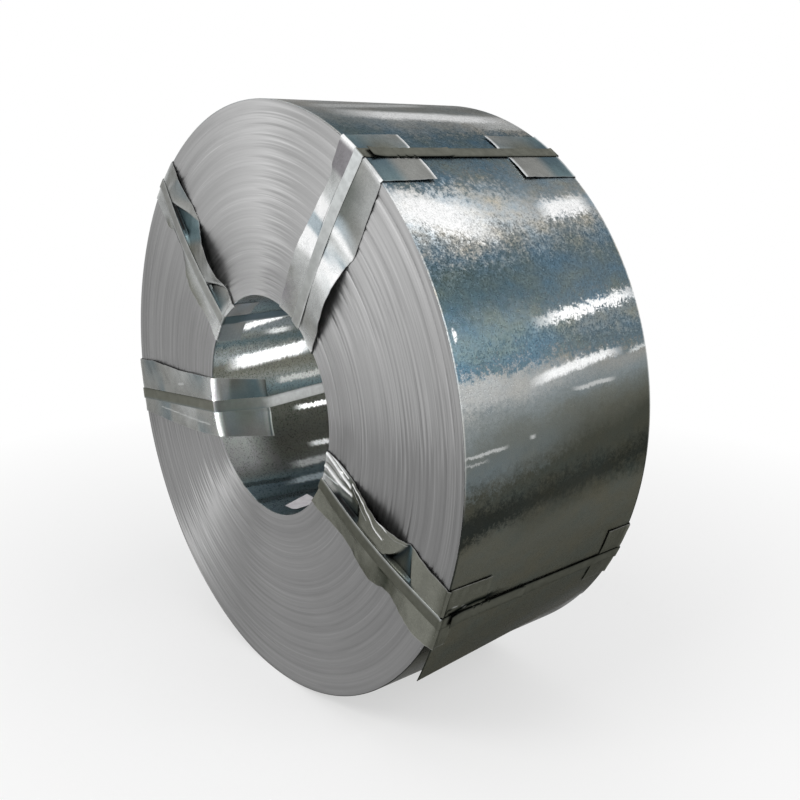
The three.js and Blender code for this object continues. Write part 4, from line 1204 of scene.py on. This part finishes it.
def strap_steel():
    """Plain strapping: its painted shades, satin, with faint scuffs, less metallic in the eye and darker there
    as painted shade.
    """
    material, g, shader = steel("strap_steel")
    inside = in_the_eye(g)
    scuff = g.noise(g.place(), 60.0, 4.0, 0.65)
    # Scuffs, darkened inside the eye as painted shade.
    level = g.stretch(scuff, 0.85, 1.15) * (1.0 - inside * 0.5)
    g.feed(shader, {"Base Color": g.scaled(g.shade(), level), "Metallic": 1.0 - inside * LESS_METAL,
                    "Roughness": g.stretch(scuff, 0.3, 0.46), "Normal": g.bump(0.3, 0.0008, scuff)})
    return material


# ---------------------------------------------------------------- floor, light and camera
FLOOR_HALF = 14.0
SKY = 0.6
WHITE = (1, 1, 1, 1)
MIDDLE = (0, 0, MID_HEIGHT)
CAMERA_PLACE = (1.805, -1.320, MID_HEIGHT + 0.561)
CAMERA_AIM = (-0.7531, 0.6065, -0.2551)
FOCAL_PIXELS = 938.9
IMAGE_PIXELS = 800
SENSOR = 36.0


def build_floor():
    """A plain pale floor that fades to the white of the background away from the coil."""
    mesh = bpy.data.meshes.new("floor")
    corners = [(FLOOR_HALF * x, FLOOR_HALF * y, 0) for x, y in [(-1, -1), (1, -1), (1, 1), (-1, 1)]]
    mesh.from_pydata(corners, [], [(0, 1, 2, 3)])
    floor = bpy.data.objects.new("floor", mesh)
    bpy.context.scene.collection.objects.link(floor)
    material, g, shader = new_material("pale_floor")
    g.feed(shader, {"Base Color": (0.9, 0.9, 0.9, 1), "Roughness": 0.9, "Specular IOR Level": 0.0})
    distance = g.out("ShaderNodeVectorMath", {0: g.place()}, "Value", operation="LENGTH")
    faded = g.remap(distance, 0.8, 2.4, 0.55, 1.0) * g.seen()
    white = g.out("ShaderNodeEmission", {"Color": WHITE, "Strength": 1.0})
    mixed = g.out("ShaderNodeMixShader", {0: faded, 1: shader.outputs[0], 2: white})
    g.feed(material.node_tree.nodes["Material Output"], {0: mixed})
    mesh.materials.append(material)


def build_world():
    """An even pale sky for light, seen as plain white."""
    world = bpy.data.worlds.new("studio")
    bpy.context.scene.world = world
    world.use_nodes = True
    g, nodes = Graph(world.node_tree), world.node_tree.nodes
    g.feed(nodes["Background"], {"Color": WHITE, "Strength": SKY})
    white = g.out("ShaderNodeBackground", {"Color": WHITE, "Strength": 1.0})
    mixed = g.out("ShaderNodeMixShader", {0: g.seen(), 1: nodes["Background"].outputs[0], 2: white})
    g.feed(nodes["World Output"], {0: mixed})


def aim(thing, place, target):
    """Link a lamp or camera, and turn it from its place towards a target."""
    bpy.context.scene.collection.objects.link(thing)
    thing.location = place
    thing.rotation_euler = (Vector(target) - Vector(place)).to_track_quat("-Z", "Y").to_euler()


def softbox(name, place, target, size, power, spread=math.pi):
    light = bpy.data.lights.new(name, "AREA")
    light.shape = "RECTANGLE"
    light.size, light.size_y = size
    light.energy = power
    light.spread = spread
    aim(bpy.data.objects.new(name, light), place, target)


def build_camera():
    camera = bpy.data.cameras.new("camera")
    camera.sensor_width = SENSOR
    camera.lens = FOCAL_PIXELS / IMAGE_PIXELS * SENSOR
    thing = bpy.data.objects.new("camera", camera)
    aim(thing, CAMERA_PLACE, np.add(CAMERA_PLACE, CAMERA_AIM))
    bpy.context.scene.camera = thing


# ---------------------------------------------------------------- the object
build_floor()
build_world()
build_camera()
softbox("key", (0.4, -3.2, 3.2), MIDDLE, (2.0, 1.4), 60)
softbox("fill", (3.4, 0.8, 2.6), MIDDLE, (1.6, 1.6), 40)
softbox("eye", (1.9, -2.2, MID_HEIGHT + 0.55), (-0.2, -0.10, MID_HEIGHT + 0.04), (0.15, 0.15), 1.35,
        math.radians(9))
bpy.context.scene.view_settings.view_transform = "Standard"

skin, sheet, band = zinc_skin(), guard_sheet(), strap_steel()
build_wound_body(wound_edges(), eye_skin(), under_wrap())
build_outer_wrap(skin)
build_label(slip_paper())
for name, strap in STRAPS.items():
    build_strap(name, strap, band)
    for end in (FRONT, BACK):
        build_guard(name, end, sheet)
